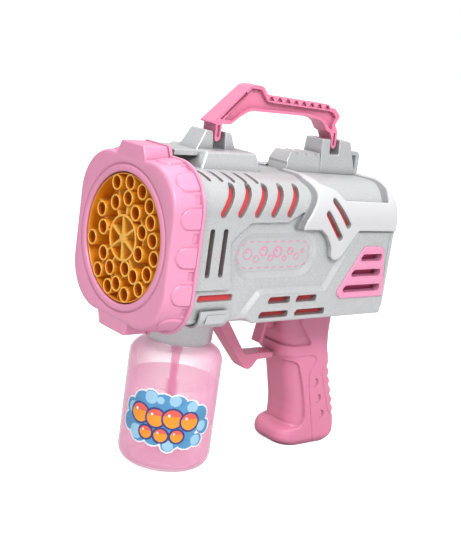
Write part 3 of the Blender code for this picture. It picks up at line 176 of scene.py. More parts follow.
# Lit and shaded copies of the nozzle's amber: the light one is a painted highlight on rims, boss and ribs,
# the deep one the walls, the dark one painted shade inside the bores
AMBER = plastic("amber_plastic", (244, 182, 70), 0.28, 0.03, coat=0.2, scatter=0.2)
AMBER_DEEP = plastic("deep_amber_plastic", (226, 142, 26), 0.35, 0.06, scale=120, scatter=0.1)
SHADED_AMBER = plastic("shaded_amber_plastic", (204, 104, 10), 0.4, 0.06, scale=160)
# The clear bottle, tube and solution carry painted light: a faint glow in their own colour stands in for
# light scattered through them
CLEAR = plastic("clear_pink_plastic", (244, 178, 208), 0.07, 0.01, alpha=0.1, edge_alpha=0.8, coat=0.6,
                painted_glow=0.1)
TUBE_CLEAR = plastic("clear_tube_plastic", (232, 150, 186), 0.2, 0.02, alpha=0.28, edge_alpha=0.8, painted_glow=0.3)
LIQUID = plastic("pink_solution", (236, 160, 194), 0.06, 0.02, alpha=0.22, edge_alpha=0.5, painted_glow=0.32)
LIQUID_TOP = plastic("solution_surface", (226, 130, 172), 0.08, 0.03, alpha=0.4, edge_alpha=0.5, painted_glow=0.3)
STEEL = plastic("plated_steel", (178, 180, 184), 0.3, 0.03, metallic=1.0)
NYLON = plastic("white_nylon", (234, 230, 220), 0.45, 0.02)
BLACK = plastic("black_plastic", (36, 36, 40), 0.45, 0.05)
SEAL = plastic("grey_seal", (70, 70, 74), 0.8, 0.05, bump=0.08)
CELL = plastic("cell_sleeve", (44, 74, 140), 0.32, 0.04, coat=0.4)
BOARD = plastic("board_green", (40, 112, 72), 0.4, 0.08, scale=400)
LABEL_WHITE = plastic("label_white", (240, 242, 246), 0.35, 0.01)
LABEL_BLUE = plastic("label_blue", (84, 150, 196), 0.32, 0.10, scale=150)
LABEL_PALE = plastic("label_pale_blue", (160, 206, 234), 0.32, 0.05, scale=150)
LABEL_ORANGE = plastic("label_orange", (246, 156, 44), 0.32, 0.10, scale=150)
LABEL_CORAL = plastic("label_coral", (238, 100, 84), 0.32, 0.06, scale=150)
LABEL_NAVY = plastic("label_navy", (54, 60, 130), 0.32, 0.04)
PRINT_PINK = plastic("print_pink", (230, 140, 174), 0.45, 0.02)

NODE_LOOKS = (
    (RED, "inner_duct"),
    (SEAL, "bottle_gasket"),
    (NYLON, "nozzle_gear motor_pinion pump_gear pump_rotor"),
    (WHITE, "gearbox_frame pump_housing fan_impeller"),
    (TUBE_CLEAR, "solution_tube dip_tube"),
    (STEEL, "nozzle_shaft pump_motor fan_shaft fan_motor trigger_spring"),
    (STEEL, "upper_battery_contact lower_battery_contact battery_door_screw"),
    (STEEL, "shell_screw_1 shell_screw_2 shell_screw_3 grip_screw_1 grip_screw_2"),
    (BLACK, "fan_shroud trigger_switch battery_lead fan_lead pump_lead"),
    (CELL, "aa_cell_1 aa_cell_2 aa_cell_3 aa_cell_4"),
    (BOARD, "circuit_board"),
)


def paint_nodes():
    for material, names in NODE_LOOKS:
        for name in names.split():
            materials = NODES[name].data.materials
            materials.clear()
            materials.append(material)


# Meshes

def linked(name, data):
    """A new object in the scene."""
    obj = bpy.data.objects.new(name, data)
    bpy.context.scene.collection.objects.link(obj)
    return obj


def new_object(name, mesh, materials, replaced=(), body="housing"):
    """Adds a piece that rides a body and stands for the CAD nodes it replaces."""
    obj = linked(name, mesh)
    for material in materials:
        mesh.materials.append(material)
    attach(obj, body)
    if replaced:
        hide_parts(*replaced)
    return obj


def mesh_from(name, vertices, faces, index=None, sharp=35):
    """A mesh from arrays in design millimetres, smooth but for edges over an angle."""
    mesh = bpy.data.meshes.new(name)
    mesh.from_pydata(place(vertices).tolist(), [], [list(map(int, f)) for f in faces])
    if index is not None:
        mesh.polygons.foreach_set("material_index", np.asarray(index, np.int32))
    mesh.update()
    mesh.shade_smooth()
    mesh.set_sharp_from_angle(angle=math.radians(sharp))
    return mesh


def grid_faces(rows, columns, closed=False):
    """Quads of a grid of rows by columns; closed joins the last column to the first."""
    last = columns if closed else columns - 1
    i, j = np.meshgrid(np.arange(rows - 1), np.arange(last), indexing="ij")
    after = (j + 1) % columns
    near, far = i * columns, (i + 1) * columns
    return np.stack([near + j, near + after, far + after, far + j], -1).reshape(-1, 4)


def loft(name, rings, materials, replaced=(), body="housing", capped=False, sharp=35):
    """Rings of equal counts, each closed, skinned in order."""
    rings = np.asarray(rings, float)
    rows, columns = rings.shape[:2]
    faces = [tuple(f) for f in grid_faces(rows, columns, True)]
    if capped:
        faces.append(tuple(range(columns))[::-1])
        faces.append(tuple(range((rows - 1) * columns, rows * columns)))
    mesh = mesh_from(name, rings.reshape(-1, 3), faces, sharp=sharp)
    fix_normals(mesh)
    return new_object(name, mesh, materials, replaced, body)


def fix_normals(mesh):
    bm = bmesh.new()
    bm.from_mesh(mesh)
    bmesh.ops.recalc_face_normals(bm, faces=bm.faces)
    bm.to_mesh(mesh)
    bm.free()


ORDERS = {"X": lambda u, v, h: (h, u, v), "Y": lambda u, v, h: (u, h, v), "Z": lambda u, v, h: (u, v, h)}


def turned(name, profile, materials, replaced=(), body="housing", axis="Z", steps=96, closed=True):
    """A (radius, height) line turned about the bottle's axis Z or the barrel's X; closed joins its ends."""
    angles = np.linspace(0, 2 * math.pi, steps, endpoint=False)
    centre = BOTTLE_X if axis == "Z" else 0
    line = list(profile) + ([profile[0]] if closed else [])
    rings = []
    for radius, height in line:
        u, v = centre + radius * np.cos(angles), radius * np.sin(angles)
        rings.append(np.stack(ORDERS[axis](u, v, np.full_like(u, height)), -1))
    return loft(name, rings, materials, replaced, body)


def smooth_line(points, rounds=2):
    """Corner-cut copy of an open line."""
    line = [np.asarray(p, float) for p in points]
    for _ in range(rounds):
        cut = [line[0]]
        for a, b in zip(line, line[1:]):
            cut += [a * 0.75 + b * 0.25, a * 0.25 + b * 0.75]
        line = cut + [line[-1]]
    return line


def add_prism(bm, outline, order, low, high):
    """An outline carried from low to high; order turns (u, v, h) into a point."""
    rows = [[bm.verts.new(place(order(u, v, h))) for u, v in outline] for h in (low, high)]
    bm.faces.new(rows[0])
    bm.faces.new(rows[1][::-1])
    for i in range(len(outline)):
        j = (i + 1) % len(outline)
        bm.faces.new((rows[0][i], rows[1][i], rows[1][j], rows[0][j]))


def finished(bm, name, outward=True):
    """The mesh made from bm, which is freed."""
    if outward:
        bmesh.ops.recalc_face_normals(bm, faces=bm.faces)
    mesh = bpy.data.meshes.new(name)
    bm.to_mesh(mesh)
    bm.free()
    return mesh


def prism_mesh(outline, axis, low, high):
    bm = bmesh.new()
    add_prism(bm, outline, ORDERS[axis], low, high)
    return finished(bm, "prism")


def cut_mesh(base, cutters):
    """base with the other meshes cut away, as a new mesh."""
    obj = linked("base_shape", base)
    helpers = []
    for cutter in cutters:
        helper = linked("helper_shape", cutter)
        modifier = obj.modifiers.new("boolean", "BOOLEAN")
        modifier.operation = "DIFFERENCE"
        modifier.object = helper
        helpers.append(helper)
    bpy.context.view_layer.update()
    graph = bpy.context.evaluated_depsgraph_get()
    mesh = bpy.data.meshes.new_from_object(obj.evaluated_get(graph))
    for helper in [obj] + helpers:
        bpy.data.objects.remove(helper)
    return mesh


def bevelled(name, mesh, materials, replaced=(), body="housing", width=0.6):
    """The shape with flat faces merged and its edges rounded."""
    mesh = mesh.copy()
    mesh.materials.clear()
    bm = bmesh.new()
    bm.from_mesh(mesh)
    bmesh.ops.remove_doubles(bm, verts=bm.verts, dist=2e-6)
    bmesh.ops.dissolve_limit(
        bm, angle_limit=math.radians(1), verts=bm.verts, edges=bm.edges, use_dissolve_boundaries=False
    )
    bm.to_mesh(mesh)
    bm.free()
    obj = new_object(name, mesh, materials, replaced, body)
    soften(obj, width)
    return obj


def soften(obj, width):
    """Rounds the object's edges with modifiers."""
    obj.data.shade_smooth()
    bevel = obj.modifiers.new("rounded_edges", "BEVEL")
    bevel.width = width / 1000
    bevel.segments = 3
    bevel.limit_method = "ANGLE"
    bevel.angle_limit = math.radians(28)
    bevel.use_clamp_overlap = True
    weighted = obj.modifiers.new("even_shading", "WEIGHTED_NORMAL")
    weighted.keep_sharp = True


def refined(name, cad, materials, **options):
    return bevelled(name, NODES[cad].data, materials, (cad,), **options)


# Distances in a plane, in millimetres: negative inside

def distance_to_segments(px, pz, points, closed=False):
    best = np.full(np.shape(px), 1e9)
    ends = points[1:] + ([points[0]] if closed else [])
    for (ax, az), (bx, bz) in zip(points, ends):
        dx, dz = bx - ax, bz - az
        t = np.clip(((px - ax) * dx + (pz - az) * dz) / max(dx * dx + dz * dz, 1e-9), 0, 1)
        best = np.minimum(best, np.hypot(px - ax - t * dx, pz - az - t * dz))
    return best


def polygon(px, pz, points):
    inside = np.zeros(np.shape(px), bool)
    for (ax, az), (bx, bz) in zip(points, points[1:] + [points[0]]):
        crosses = (az > pz) != (bz > pz)
        at = (bx - ax) * (pz - az) / np.where(bz == az, 1e-9, bz - az) + ax
        inside ^= crosses & (px < at)
    distance = distance_to_segments(px, pz, points, True)
    return np.where(inside, -distance, distance)


def stroke(px, pz, points, radius):
    return distance_to_segments(px, pz, points) - radius


def within(distance, width=0.5):
    """1 inside, 0 outside, smooth over a width at the edge."""
    t = np.clip(0.5 - distance / width, 0, 1)
    return t * t * (3 - 2 * t)


# The body's section, as arc length from the middle of the roof

SIDE_TOP = TOP_FRONT - TOP_RADIUS
FLAT_TOP = HALF_WIDTH - TOP_RADIUS
ARC_TOP = TOP_RADIUS * math.pi / 2
SIDE_LOW = BOTTOM + BOTTOM_RADIUS
SIDE_SPAN = SIDE_TOP - SIDE_LOW
ARC_LOW = BOTTOM_RADIUS * math.pi / 2
FLAT_LOW = HALF_WIDTH - BOTTOM_RADIUS
LOW_START = FLAT_TOP + ARC_TOP + SIDE_SPAN
SECTION_LENGTH = LOW_START + ARC_LOW + FLAT_LOW
SQUARE_RADIUS, SQUARE_START, SQUARE_BLEND = 1.4, 56, 7


def section(s, low_radius=BOTTOM_RADIUS):
    """Position (y, z) and outward normal (ny, nz) at arc lengths s, for a lower edge of a radius."""
    s = np.asarray(s, float)
    extra = BOTTOM_RADIUS - low_radius
    arc_low = low_radius * math.pi / 2
    stretch = (2 * extra + arc_low) / ARC_LOW
    past = s - LOW_START
    moved = LOW_START + np.where(past < ARC_LOW, past * stretch, past + ARC_LOW * (stretch - 1))
    s = np.where(past <= 0, s, moved)
    a = np.clip((s - FLAT_TOP) / TOP_RADIUS, 0, math.pi / 2)
    down = np.clip(s - FLAT_TOP - ARC_TOP, 0, SIDE_SPAN + extra)
    b = np.clip((s - LOW_START - extra) / low_radius, 0, math.pi / 2)
    back = np.clip(s - LOW_START - extra - arc_low, 0, None)
    y = np.minimum(s, FLAT_TOP) + TOP_RADIUS * np.sin(a) - low_radius * (1 - np.cos(b)) - back
    z = TOP_FRONT - TOP_RADIUS * (1 - np.cos(a)) - down - low_radius * np.sin(b)
    turn = a + b
    return y, z, np.sin(turn), np.cos(turn)


def surface(x, s):
    """The body's skin: its lower edge round at the front and square behind, its roof sloping back."""
    share = np.clip((x - SQUARE_START) / SQUARE_BLEND, 0, 1)
    share = share * share * (3 - 2 * share)
    near, far = section(s), section(s, SQUARE_RADIUS)
    y, z, ny, nz = (p + (q - p) * share for p, q in zip(near, far))
    norm = np.maximum(np.hypot(ny, nz), 1e-6)
    drop = (TOP_FRONT - TOP_REAR) * (x - BODY_FRONT) / (BODY_REAR - BODY_FRONT)
    height = np.clip((z - SIDE_LOW) / SIDE_SPAN, 0, 1)
    return y, z - drop * height, ny / norm, nz / norm


def arc_place(y, z):
    """Arc length of a point on the section from its |y| and z."""
    y = abs(y)
    if y > FLAT_TOP and z > SIDE_TOP:
        return FLAT_TOP + TOP_RADIUS * math.atan2(y - FLAT_TOP, z - SIDE_TOP)
    if z > SIDE_TOP:
        return y
    return FLAT_TOP + ARC_TOP + SIDE_TOP - z


def body_grid(x_low, x_high, s_low, s_high, pitch, edges=()):
    """A grid over the skin, with the points nearest each edge's contours moved onto them."""
    xs = np.linspace(x_low, x_high, max(2, int((x_high - x_low) / pitch)))
    ss = np.linspace(s_low, s_high, max(2, int((s_high - s_low) / pitch)))
    x, s = np.meshgrid(xs, ss, indexing="ij")
    moved = np.zeros(x.shape, bool)
    step = 0.02
    for edge, levels in edges:
        for level in levels:
            d = edge(x, s) - level
            dx = (edge(x + step, s) - level - d) / step
            ds = (edge(x, s + step) - level - d) / step
            steep = dx ** 2 + ds ** 2
            reach = 0.5 if level == 0 else 1.1
            near = (np.abs(d) < reach * pitch) & ~moved & (steep > 0.3) & (steep < 4)
            near[0] = near[-1] = False
            near[:, 0] = near[:, -1] = False
            x = np.where(near, x - d * dx / np.maximum(steep, 0.1), x)
            s = np.where(near, s - d * ds / np.maximum(steep, 0.1), s)
            moved |= near
    y, z, ny, nz = surface(x, s)
    return x, s, y, z, ny, nz


def relief(word, node_word, grid, height, looks, materials, keep=None):
    """Skins over the body's two sides raised by height, with a look number for each face."""
    x, _, y, z, ny, nz = grid
    quads = grid_faces(*x.shape)
    if keep is not None:
        quads, looks = quads[keep], looks[keep]
    used, flat = np.unique(quads, return_inverse=True)
    flat = flat.reshape(quads.shape)
    for side, hand in SIDES:
        points = np.stack([x, (y + ny * height) * side, z + nz * height], -1).reshape(-1, 3)
        faces = flat[:, ::-1] if side < 0 else flat
        name = f"{hand}_{word}"
        mesh = mesh_from(name, points[used], faces, looks, 40)
        new_object(name, mesh, materials, (f"{hand}_{node_word}",))


def corners_in(distance, limit, test=np.all):
    """Whether each face of the grid has all its corners, or any, within a distance."""
    return test(distance.reshape(-1)[grid_faces(*distance.shape)] <= limit, axis=1)


SLANT_SLOT = [(31.6, 22.9), (34.0, 26.0), (36.6, 29.4), (38.9, 32.8), (40.2, 35.8)]
FRONT_PLATE = [
    (10, 70), (10, -17.9), (41.8, -18.4), (43.3, -17.0), (39.0, 6.7), (40.5, 10.5), (44.0, 13.6),
    (49.4, 16.4), (52.1, 18.5), (79.2, 18.7), (82.6, 20.6), (90, 24), (180, 24), (180, 70),
]
LOWER_PLATE = [
    (180, 14.8), (136, 14.6), (131.2, 9.3), (118.2, -11.9), (114.1, -19.3), (68.5, -19.1), (63.9, -19.7),
    (56.7, -28.3), (50, -38), (50, -80), (180, -80),
]
ARMOR_SLOTS = ([(114.9, 29.0), (125.6, 16.6)], [(108.6, 22.7), (120.3, 9.4)])
VENT_EDGE = [
    (142.9, 3.6), (157.4, 3.4), (160.4, 1), (164.2, -18.0), (164.8, -27.8), (128.4, -27.9), (125.2, -25.2),
    (125.4, -22.6),
]
# Bar slots: foot, shoulder and far end along x, low and high z, and the radius of the edge
VENT_SLOTS = (
    (142.9, 143.8, 157.4, -3.8, -2.7, 1.6), (136.6, 137.9, 158.0, -13.1, -12.0, 1.6),
    (131.4, 132.6, 159.6, -22.5, -21.4, 1.6),
)
LOW_SLOTS = (
    (23.9, 24.5, 45.8, -24.0, -22.6, 1.2), (73.4, 74.2, 87.4, -26.8, -25.5, 1.3),
    (94.6, 95.4, 108.2, -26.8, -25.5, 1.3), (67.8, 68.8, 87.2, -35.0, -33.8, 1.3),
    (95.0, 96.0, 116.2, -35.0, -33.8, 1.3),
)
SLANT_COUNT, SLANT_PITCH = 5, 11.85
# Heights over the body's skin
PLATE_RISE = 0.9
MIDDLE_DEPTH = 1.0
BADGE_DEPTH = 1.7
SLOT_FLOOR, SHOULDER_FLOOR, PANEL_FLOOR, ROOF_FLOOR, VENT_FLOOR = -2.75, -1.8, -1.4, -1.0, -4.5
ROOF_END = 36.3
ARMOR_TOP, TRIM_TOP, VENT_TOP = 2.2, 1.3, 1.7
ARMOR_SKIRT, VENT_SKIRT, VENT_SLOT_FLOOR = -3.2, -3.0, -3.6
VENT_INSET = 2.0


def bar_distances(x, z, slots):
    return [
        polygon(x, z, [(foot, low), (shoulder, high), (end, high), (end, low)]) - radius
        for foot, shoulder, end, low, high, radius in slots
    ]


def slot_distance(x, s):
    """Distance to the nearest red-lined vent of one side."""
    y, z = surface(x, s)[:2]
    found = [upright_distance(x, s)]
    off_roof = np.where(z > 34, 0.0, 50.0)
    for i in range(SLANT_COUNT):
        found.append(stroke(x, z, [(u + SLANT_PITCH * i, v) for u, v in SLANT_SLOT], 1.95))
        line = [(24.9 + 8.25 * i, 26.6), (26.0 + 8.25 * i, 30.6), (27.4 + 8.3 * i, 34.4)]
        found.append(stroke(x, y, line, 1.25) + off_roof)
    found += bar_distances(x, z, LOW_SLOTS)
    found += [stroke(x, z, line, 2.1) for line in ARMOR_SLOTS]
    return np.minimum.reduce(found)


def upright_distance(x, s):
    z = surface(x, s)[1]
    return np.minimum(*[stroke(x, z, [(u, -9.8), (u, 13.6)], 1.6) for u in (25.8, 34.8)])


def vent_edge(x, s):
    return polygon(x, surface(x, s)[1], VENT_EDGE)


def shell_relief():
    edges = ((slot_distance, (0.0, -0.4)), (lambda x, s: vent_edge(x, s) + VENT_INSET, (0.0, -0.4)))
    grid = body_grid(BODY_FRONT - 0.5, BODY_REAR, 0, SECTION_LENGTH, 0.42, edges)
    x, s, y, z = grid[:4]
    plate = polygon(x, z, FRONT_PLATE)
    lower = polygon(x, z, LOWER_PLATE)
    soft = 0.8 + 3.6 * np.exp(-((x - 43) ** 2 + (z - 11) ** 2) / 40)
    raised = np.maximum(within(plate - soft / 2, soft), np.clip(-lower / 3.4, 0, 1))
    under = within(y - 44.0, 1.0) * (z < 0)
    height = (PLATE_RISE - (MIDDLE_DEPTH + PLATE_RISE) * (1 - raised)) * (1 - under)
    badge = stroke(x, z, [(57.4, -0.5), (92.2, -0.5)], 13.1)
    groove = stroke(x, z, [(163.6, -17), (163.6, 11.5)], 0.35)
    seam = np.where(x > 58, np.abs(z + 37.2) - 0.2, 5.0)
    slots = slot_distance(x, s)
    vent = vent_edge(x, s) + VENT_INSET
    height = height - BADGE_DEPTH * np.clip(-badge / 3.7, 0, 1)
    height = height - 0.6 * within(groove, 0.6) - 0.4 * within(seam, 0.5) - 0.15 * within(slots - 0.2, 0.6)
    floor = np.where(s < ROOF_END, ROOF_FLOOR, np.where(z > 19, SHOULDER_FLOOR, SLOT_FLOOR))
    floor = np.where((x > 105) & (z > 8), PANEL_FLOOR, floor)
    height = np.where(slots < -0.2, floor, height)
    height = np.where(vent < -0.2, VENT_FLOOR, height)
    looks = np.zeros(len(grid_faces(*x.shape)), int)
    # Look 2 gives the upright slots the darker red, painted shade in their deep, narrow floors
    for look, distance in ((1, slots), (2, upright_distance(x, s)), (3, vent)):
        looks[corners_in(distance, -0.3)] = look
    relief("shell_skin", "shell", grid, height, looks, [SILVER, RED, SHADED_RED, ROSE])


BAND_FRONT = [
    (99, 5, 41), (98.2, 20, 41), (95.5, 29, 41), (95.1, 33.2, 41.5), (97.6, 37.7, 38.7), (97.8, 41.2, 35.3),
    (95.5, 44.1, 31), (90.9, 46.1, 25.7), (87, 46.8, 20.1), (85.6, 46.8, 16.0),
]
BAND_REAR = [
    (103.5, 5, 41), (102.6, 20, 41), (100.0, 27, 41), (99.4, 31.1, 42.0), (102.3, 36.7, 39.4),
    (102.9, 41.2, 35.4), (100, 44.1, 31), (95.3, 46.3, 24.9), (91.4, 46.8, 19.3), (90.8, 46.8, 15.8),
]
ARMOR_LOW = [
    (104.6, 15.8), (109.3, 12.4), (113.5, 6.6), (114.6, 3.0), (115.1, -0.8), (117, -2.4), (120.2, -2.5),
    (123.3, -0.4), (135.1, 15.6), (172, 15.6),
]
SIDE_START = FLAT_TOP + ARC_TOP + SIDE_TOP


def white_edge(x, s):
    rear = [(u, arc_place(v, w)) for u, v, w in BAND_REAR]
    deck = [
        (172, 2.0), (164.6, 2.0), (164.6, 30.0), (164.0, 36.0), (160.6, arc_place(43.2, 32.6)),
        (123.5, arc_place(43.1, 32.7)), (118, arc_place(38.6, 38)), (108.6, arc_place(34.6, 40.2)),
        (105.5, 26.0), (105.0, 2.0),
    ]
    return polygon(x, s, smooth_ends(rear) + [(u, SIDE_START - w) for u, w in ARMOR_LOW] + deck)


def band_edge(x, s):
    front = [(u, arc_place(v, w)) for u, v, w in BAND_FRONT]
    rear = [(u + 0.6, arc_place(v, w)) for u, v, w in BAND_REAR]
    return polygon(x, s, smooth_ends(front) + smooth_ends(rear)[::-1])


def strip_edge(x, s):
    start = arc_place(43.1, 33.0)
    return polygon(x, s, [(155.2, start), (161.2, start), (165.2, 30), (165.2, 7), (160.0, 7), (160.0, 30)])


def armor_slot_edge(x, s):
    z = surface(x, s)[1]
    return np.minimum(*[stroke(x, z, line, 1.55) for line in ARMOR_SLOTS])


def rounding(distance, depth=0.4, reach=0.8):
    """How far an edge's rounding drops the surface, by distance inside the edge."""
    return depth * np.clip(1 + distance / reach, 0, 1) ** 2


def armor_relief():
    sides = (white_edge, band_edge, strip_edge)
    edges = ((armor_slot_edge, (0.0, 0.35)),) + tuple((edge, (0.0, 0.3)) for edge in sides)
    grid = body_grid(84, BODY_REAR + 2.1, 7.5, SIDE_START + 6, 0.4, edges)
    x, s = grid[:2]
    white, band, strip = (edge(x, s) for edge in sides)
    heights = [
        np.where(distance < 0.15, top - rounding(distance), ARMOR_SKIRT)
        for distance, top in ((white, ARMOR_TOP), (band, TRIM_TOP), (strip, TRIM_TOP))
    ]
    slots = armor_slot_edge(x, s)
    height = np.maximum.reduce(heights) - 0.4 * within(slots - 0.8, 0.9)
    height = np.where(slots < 0.15, ARMOR_SKIRT, height)
    looks = np.where(corners_in(white, 0.05, np.any), 0, 1)
    nearest = np.maximum(np.minimum(np.minimum(white, band), strip), -slots)
    keep = corners_in(nearest, 0.05, np.any)
    rear_round = np.clip((x - (BODY_REAR + 0.6)) / 1.5, 0, 1)
    height = height - 1.4 * rear_round ** 2
    relief("armor_skin", "armor_plate", grid, height, looks, [WHITE, BAND_GREY], keep)


def smooth_ends(points):
    return [tuple(p) for p in smooth_line(points, 2)]


def vent_slot_edge(x, s):
    return np.minimum.reduce(bar_distances(x, surface(x, s)[1], VENT_SLOTS))


def vent_relief():
    edges = ((vent_slot_edge, (0.0, -0.35)), (vent_edge, (0.0, 0.3)))
    grid = body_grid(123, BODY_REAR + 0.2, SIDE_START - 6, SIDE_START + 30, 0.35, edges)
    x, s = grid[:2]
    edge, slots = vent_edge(x, s), vent_slot_edge(x, s)
    height = np.where(edge < 0.15, VENT_TOP - rounding(edge, 0.5, 0.9), VENT_SKIRT)
    rim = np.abs(slots - 1.0) - 0.35
    height = height - 0.22 * within(rim, 0.5) - 0.3 * within(slots - 0.2, 0.5)
    height = np.where(slots < -0.15, VENT_SLOT_FLOOR, height)
    keep = corners_in(np.maximum(edge, -slots), 0.05, np.any)
    looks = np.zeros(len(grid_faces(*x.shape)), int)
    relief("vent_skin", "vent_grille", grid, height, looks, [PINK], keep)


def badge_print(side, name):
    """Printed dashes and bubbles on the badge's floor."""
    depth = HALF_WIDTH - MIDDLE_DEPTH - BADGE_DEPTH + 0.06
    bm = bmesh.new()

    def flat(points):
        verts = [bm.verts.new(place((u, depth * side, v))) for u, v in points]
        bm.faces.new(verts)

    def ring(cx, cz, radius, width, steps=28):
        angles = [2 * math.pi * k / steps for k in range(steps)]
        outer = [(cx + radius * math.cos(a), cz + radius * math.sin(a)) for a in angles]
        inner = [(cx + (radius - width) * math.cos(a), cz + (radius - width) * math.sin(a)) for a in angles]
        for k in range(steps):
            j = (k + 1) % steps
            flat([outer[k], outer[j], inner[j], inner[k]])

    centre, straight, radius, dashes, pieces = np.array((75.0, -0.4)), 38.8, 7.4, 22, 4
    total = 2 * straight + 2 * math.pi * radius

    def on_track(t):
        """A point t along the stadium round the badge."""
        second, t = divmod(t % total, total / 2)
        bend = max(0, t - straight) / radius
        out = np.array((min(t, straight) - straight / 2 + radius * math.sin(bend), radius * math.cos(bend)))
        return centre + out * (1 - 2 * second)

    for k in range(dashes):
        length = total / dashes * 0.55
        marks = [on_track(total * k / dashes + length * step / pieces) for step in range(pieces + 1)]
        for a, b in zip(marks, marks[1:]):
            across = np.array((-(b - a)[1], (b - a)[0]))
            across = across / max(np.hypot(*across), 1e-6) * 0.28
            flat([a - across, b - across, b + across, a + across])
    for cx, cz, r, w in (
        (55.0, 0.2, 3.2, 0.5), (61.6, -2.6, 2.2, 0.45), (66.6, 1.6, 2.9, 0.8), (72.2, -2.2, 2.0, 0.6),
        (77.0, 1.0, 3.3, 0.9), (82.6, -2.8, 1.7, 0.5), (86.6, 1.4, 2.4, 0.7), (91.6, -1.8, 2.0, 0.5),
        (95.8, 1.2, 1.4, 0.4),
    ):
        ring(cx, cz, r, w)
        ring(cx - r * 0.3, cz + r * 0.3, r * 0.22, r * 0.2, 12)
    bmesh.ops.remove_doubles(bm, verts=bm.verts, dist=1e-7)
    new_object(name, finished(bm, name, False), [PRINT_PINK])


# Bezel

def square_radius(angle, half, corner):
    """Distance from the centre to a rounded square's edge along each angle."""
    a = np.abs(np.arctan2(np.sin(angle), np.cos(angle)))
    a = np.where(a > math.pi / 2, math.pi - a, a)
    a = np.where(a > math.pi / 4, math.pi / 2 - a, a)
    inner = half - corner
    flat = half / np.cos(a)
    mid = inner * (np.cos(a) + np.sin(a))
    curved = mid + np.sqrt(np.maximum(mid ** 2 - 2 * inner ** 2 + corner ** 2, 0))
    return np.where(half * np.tan(a) <= inner, flat, curved)


LIP = (
    (14, 36), (1.2, 36), (0.5, 36.15), (0.1, 36.6), (0.0, 37.2), (0.0, 39.0), (0.15, 39.5), (0.7, 39.9),
    (0.95, 40.3), (0.7, 40.7), (0.3, 41.1), (0.2, 41.6),
)
CORNER = 26.0
FRONT_EDGE = (
    (0.2, 42.6, 25), (0.25, 43.8, 25.4), (0.5, 44.4, 25.8), (0.95, 44.8, CORNER), (1.5, 45.0, CORNER),
)
RIM_START, PAD_COUNT, PAD_RADIUS, PAD_START = 16.2, 16, 5.5, 4.4
RIM = (
    (16.2, 46.6), (16.3, 47.4), (16.65, 47.85), (17.1, 48.0), (17.7, 48.0), (18.1, 47.7), (18.2, 47.2),
    (18.2, 45.6), (5, 43),
)
TABS = (
    ("bezel_top_tab", [(-13.4, 43), (-13.2, 46.6), (-10.2, 52.2), (10.2, 52.2), (13.2, 46.6), (13.4, 43)]),
    ("bezel_bottom_tab", [
        (-15, -43.5), (-14.6, -45.4), (-12.2, -51.8), (12.2, -51.8), (14.6, -45.4), (15, -43.5),
    ]),
)


def make_bezel():
    count = 720
    angle = np.linspace(0, 2 * math.pi, count, endpoint=False)

    def circle(x, r):
        return np.stack([np.full(count, x), r * np.cos(angle), r * np.sin(angle)], -1)

    def square(x, half, corner=CORNER, extra=0.0):
        return circle(x, square_radius(angle, half, corner) + extra)

    rings = [circle(*row) for row in LIP] + [square(*row) for row in FRONT_EDGE]
    reference = square(0, 46)
    steps = np.hypot(*(np.roll(reference, -1, 0) - reference)[:, 1:].T)
    length = np.concatenate([[0], np.cumsum(steps)[:-1]])
    pitch = steps.sum() / PAD_COUNT
    offset = (length + pitch / 2) % pitch - pitch / 2
    between = length % pitch - pitch / 2
    for x in np.arange(2.0, RIM_START - 0.1, 0.35):
        past = PAD_START + PAD_RADIUS - x
        distance = np.hypot(max(past, 0), offset) - PAD_RADIUS
        raised = 0.75 * within(distance + 0.1, 0.7) - 0.25 * within(np.abs(distance - 0.35) - 0.25, 0.4)
        notch = np.maximum(np.abs(between) - 2.6, 13.2 - x)
        rings.append(square(x, 45.0 + 1.6 * (x - 1.5) / 14.7, CORNER, raised - 0.7 * within(notch, 0.5)))
    rings += [square(*row) for row in RIM]
    rings += [circle(4.6, 38.4), circle(14, 38), circle(14, 36)]
    loft("bezel_ring", rings, [PINK], ("front_bezel",), sharp=50)
    for name, outline in TABS:
        bevelled(name, prism_mesh(outline, "X", 0.3, 16.4), [PINK], width=0.9)
        wide = [(u * 1.06, v * (1.0 if abs(v) < 46 else 1.012)) for u, v in outline]
        bevelled(name + "_rim", prism_mesh(wide, "X", 16.2, 18.2), [PINK], width=0.4)


# Nozzle

TUBES = (
    (5, 20.1), (59, 20.5), (92, 22.1), (120, 18.1), (158, 18.4), (198, 16.8), (251, 16.8), (296, 20.8),
    (324, 21.0), (26, 25.9), (68, 30.8), (92, 30.9), (115, 30.9), (134, 30.4), (150, 27.2), (170, 27.7),
    (188, 30.7), (208, 29.3), (229.5, 31.0), (233, 22.6), (256, 30.8), (273, 26.0), (287, 30.8), (312, 30.9),
    (348, 30.5),
)


TUBE_OUTER, TUBE_INNER, TUBE_FRONT, TUBE_BACK, TUBE_STEPS = 4.45, 3.5, 1.0, 11.7, 36
HUB_OUTER, HUB_INNER = 12.9, 11.7
PLUG_X, RIB_BACK = 11.2, 11.6


def polar(distance, turn):
    return np.array((distance * math.cos(math.radians(turn)), distance * math.sin(math.radians(turn))))


# Tube and hub faces by look: 0 the lighter amber on rims, painted highlight; 1 the walls; 2 the darker amber
# in the bores and plugs, painted shade
def tube_look(a, b):
    if max(a, b) < TUBE_INNER + 0.01:
        return 2
    return 1 if min(a, b) > TUBE_OUTER - 0.01 else 0


def hub_look(a, b):
    return 1 if max(a, b) < HUB_INNER + 0.01 or min(a, b) > HUB_OUTER - 0.01 else 0


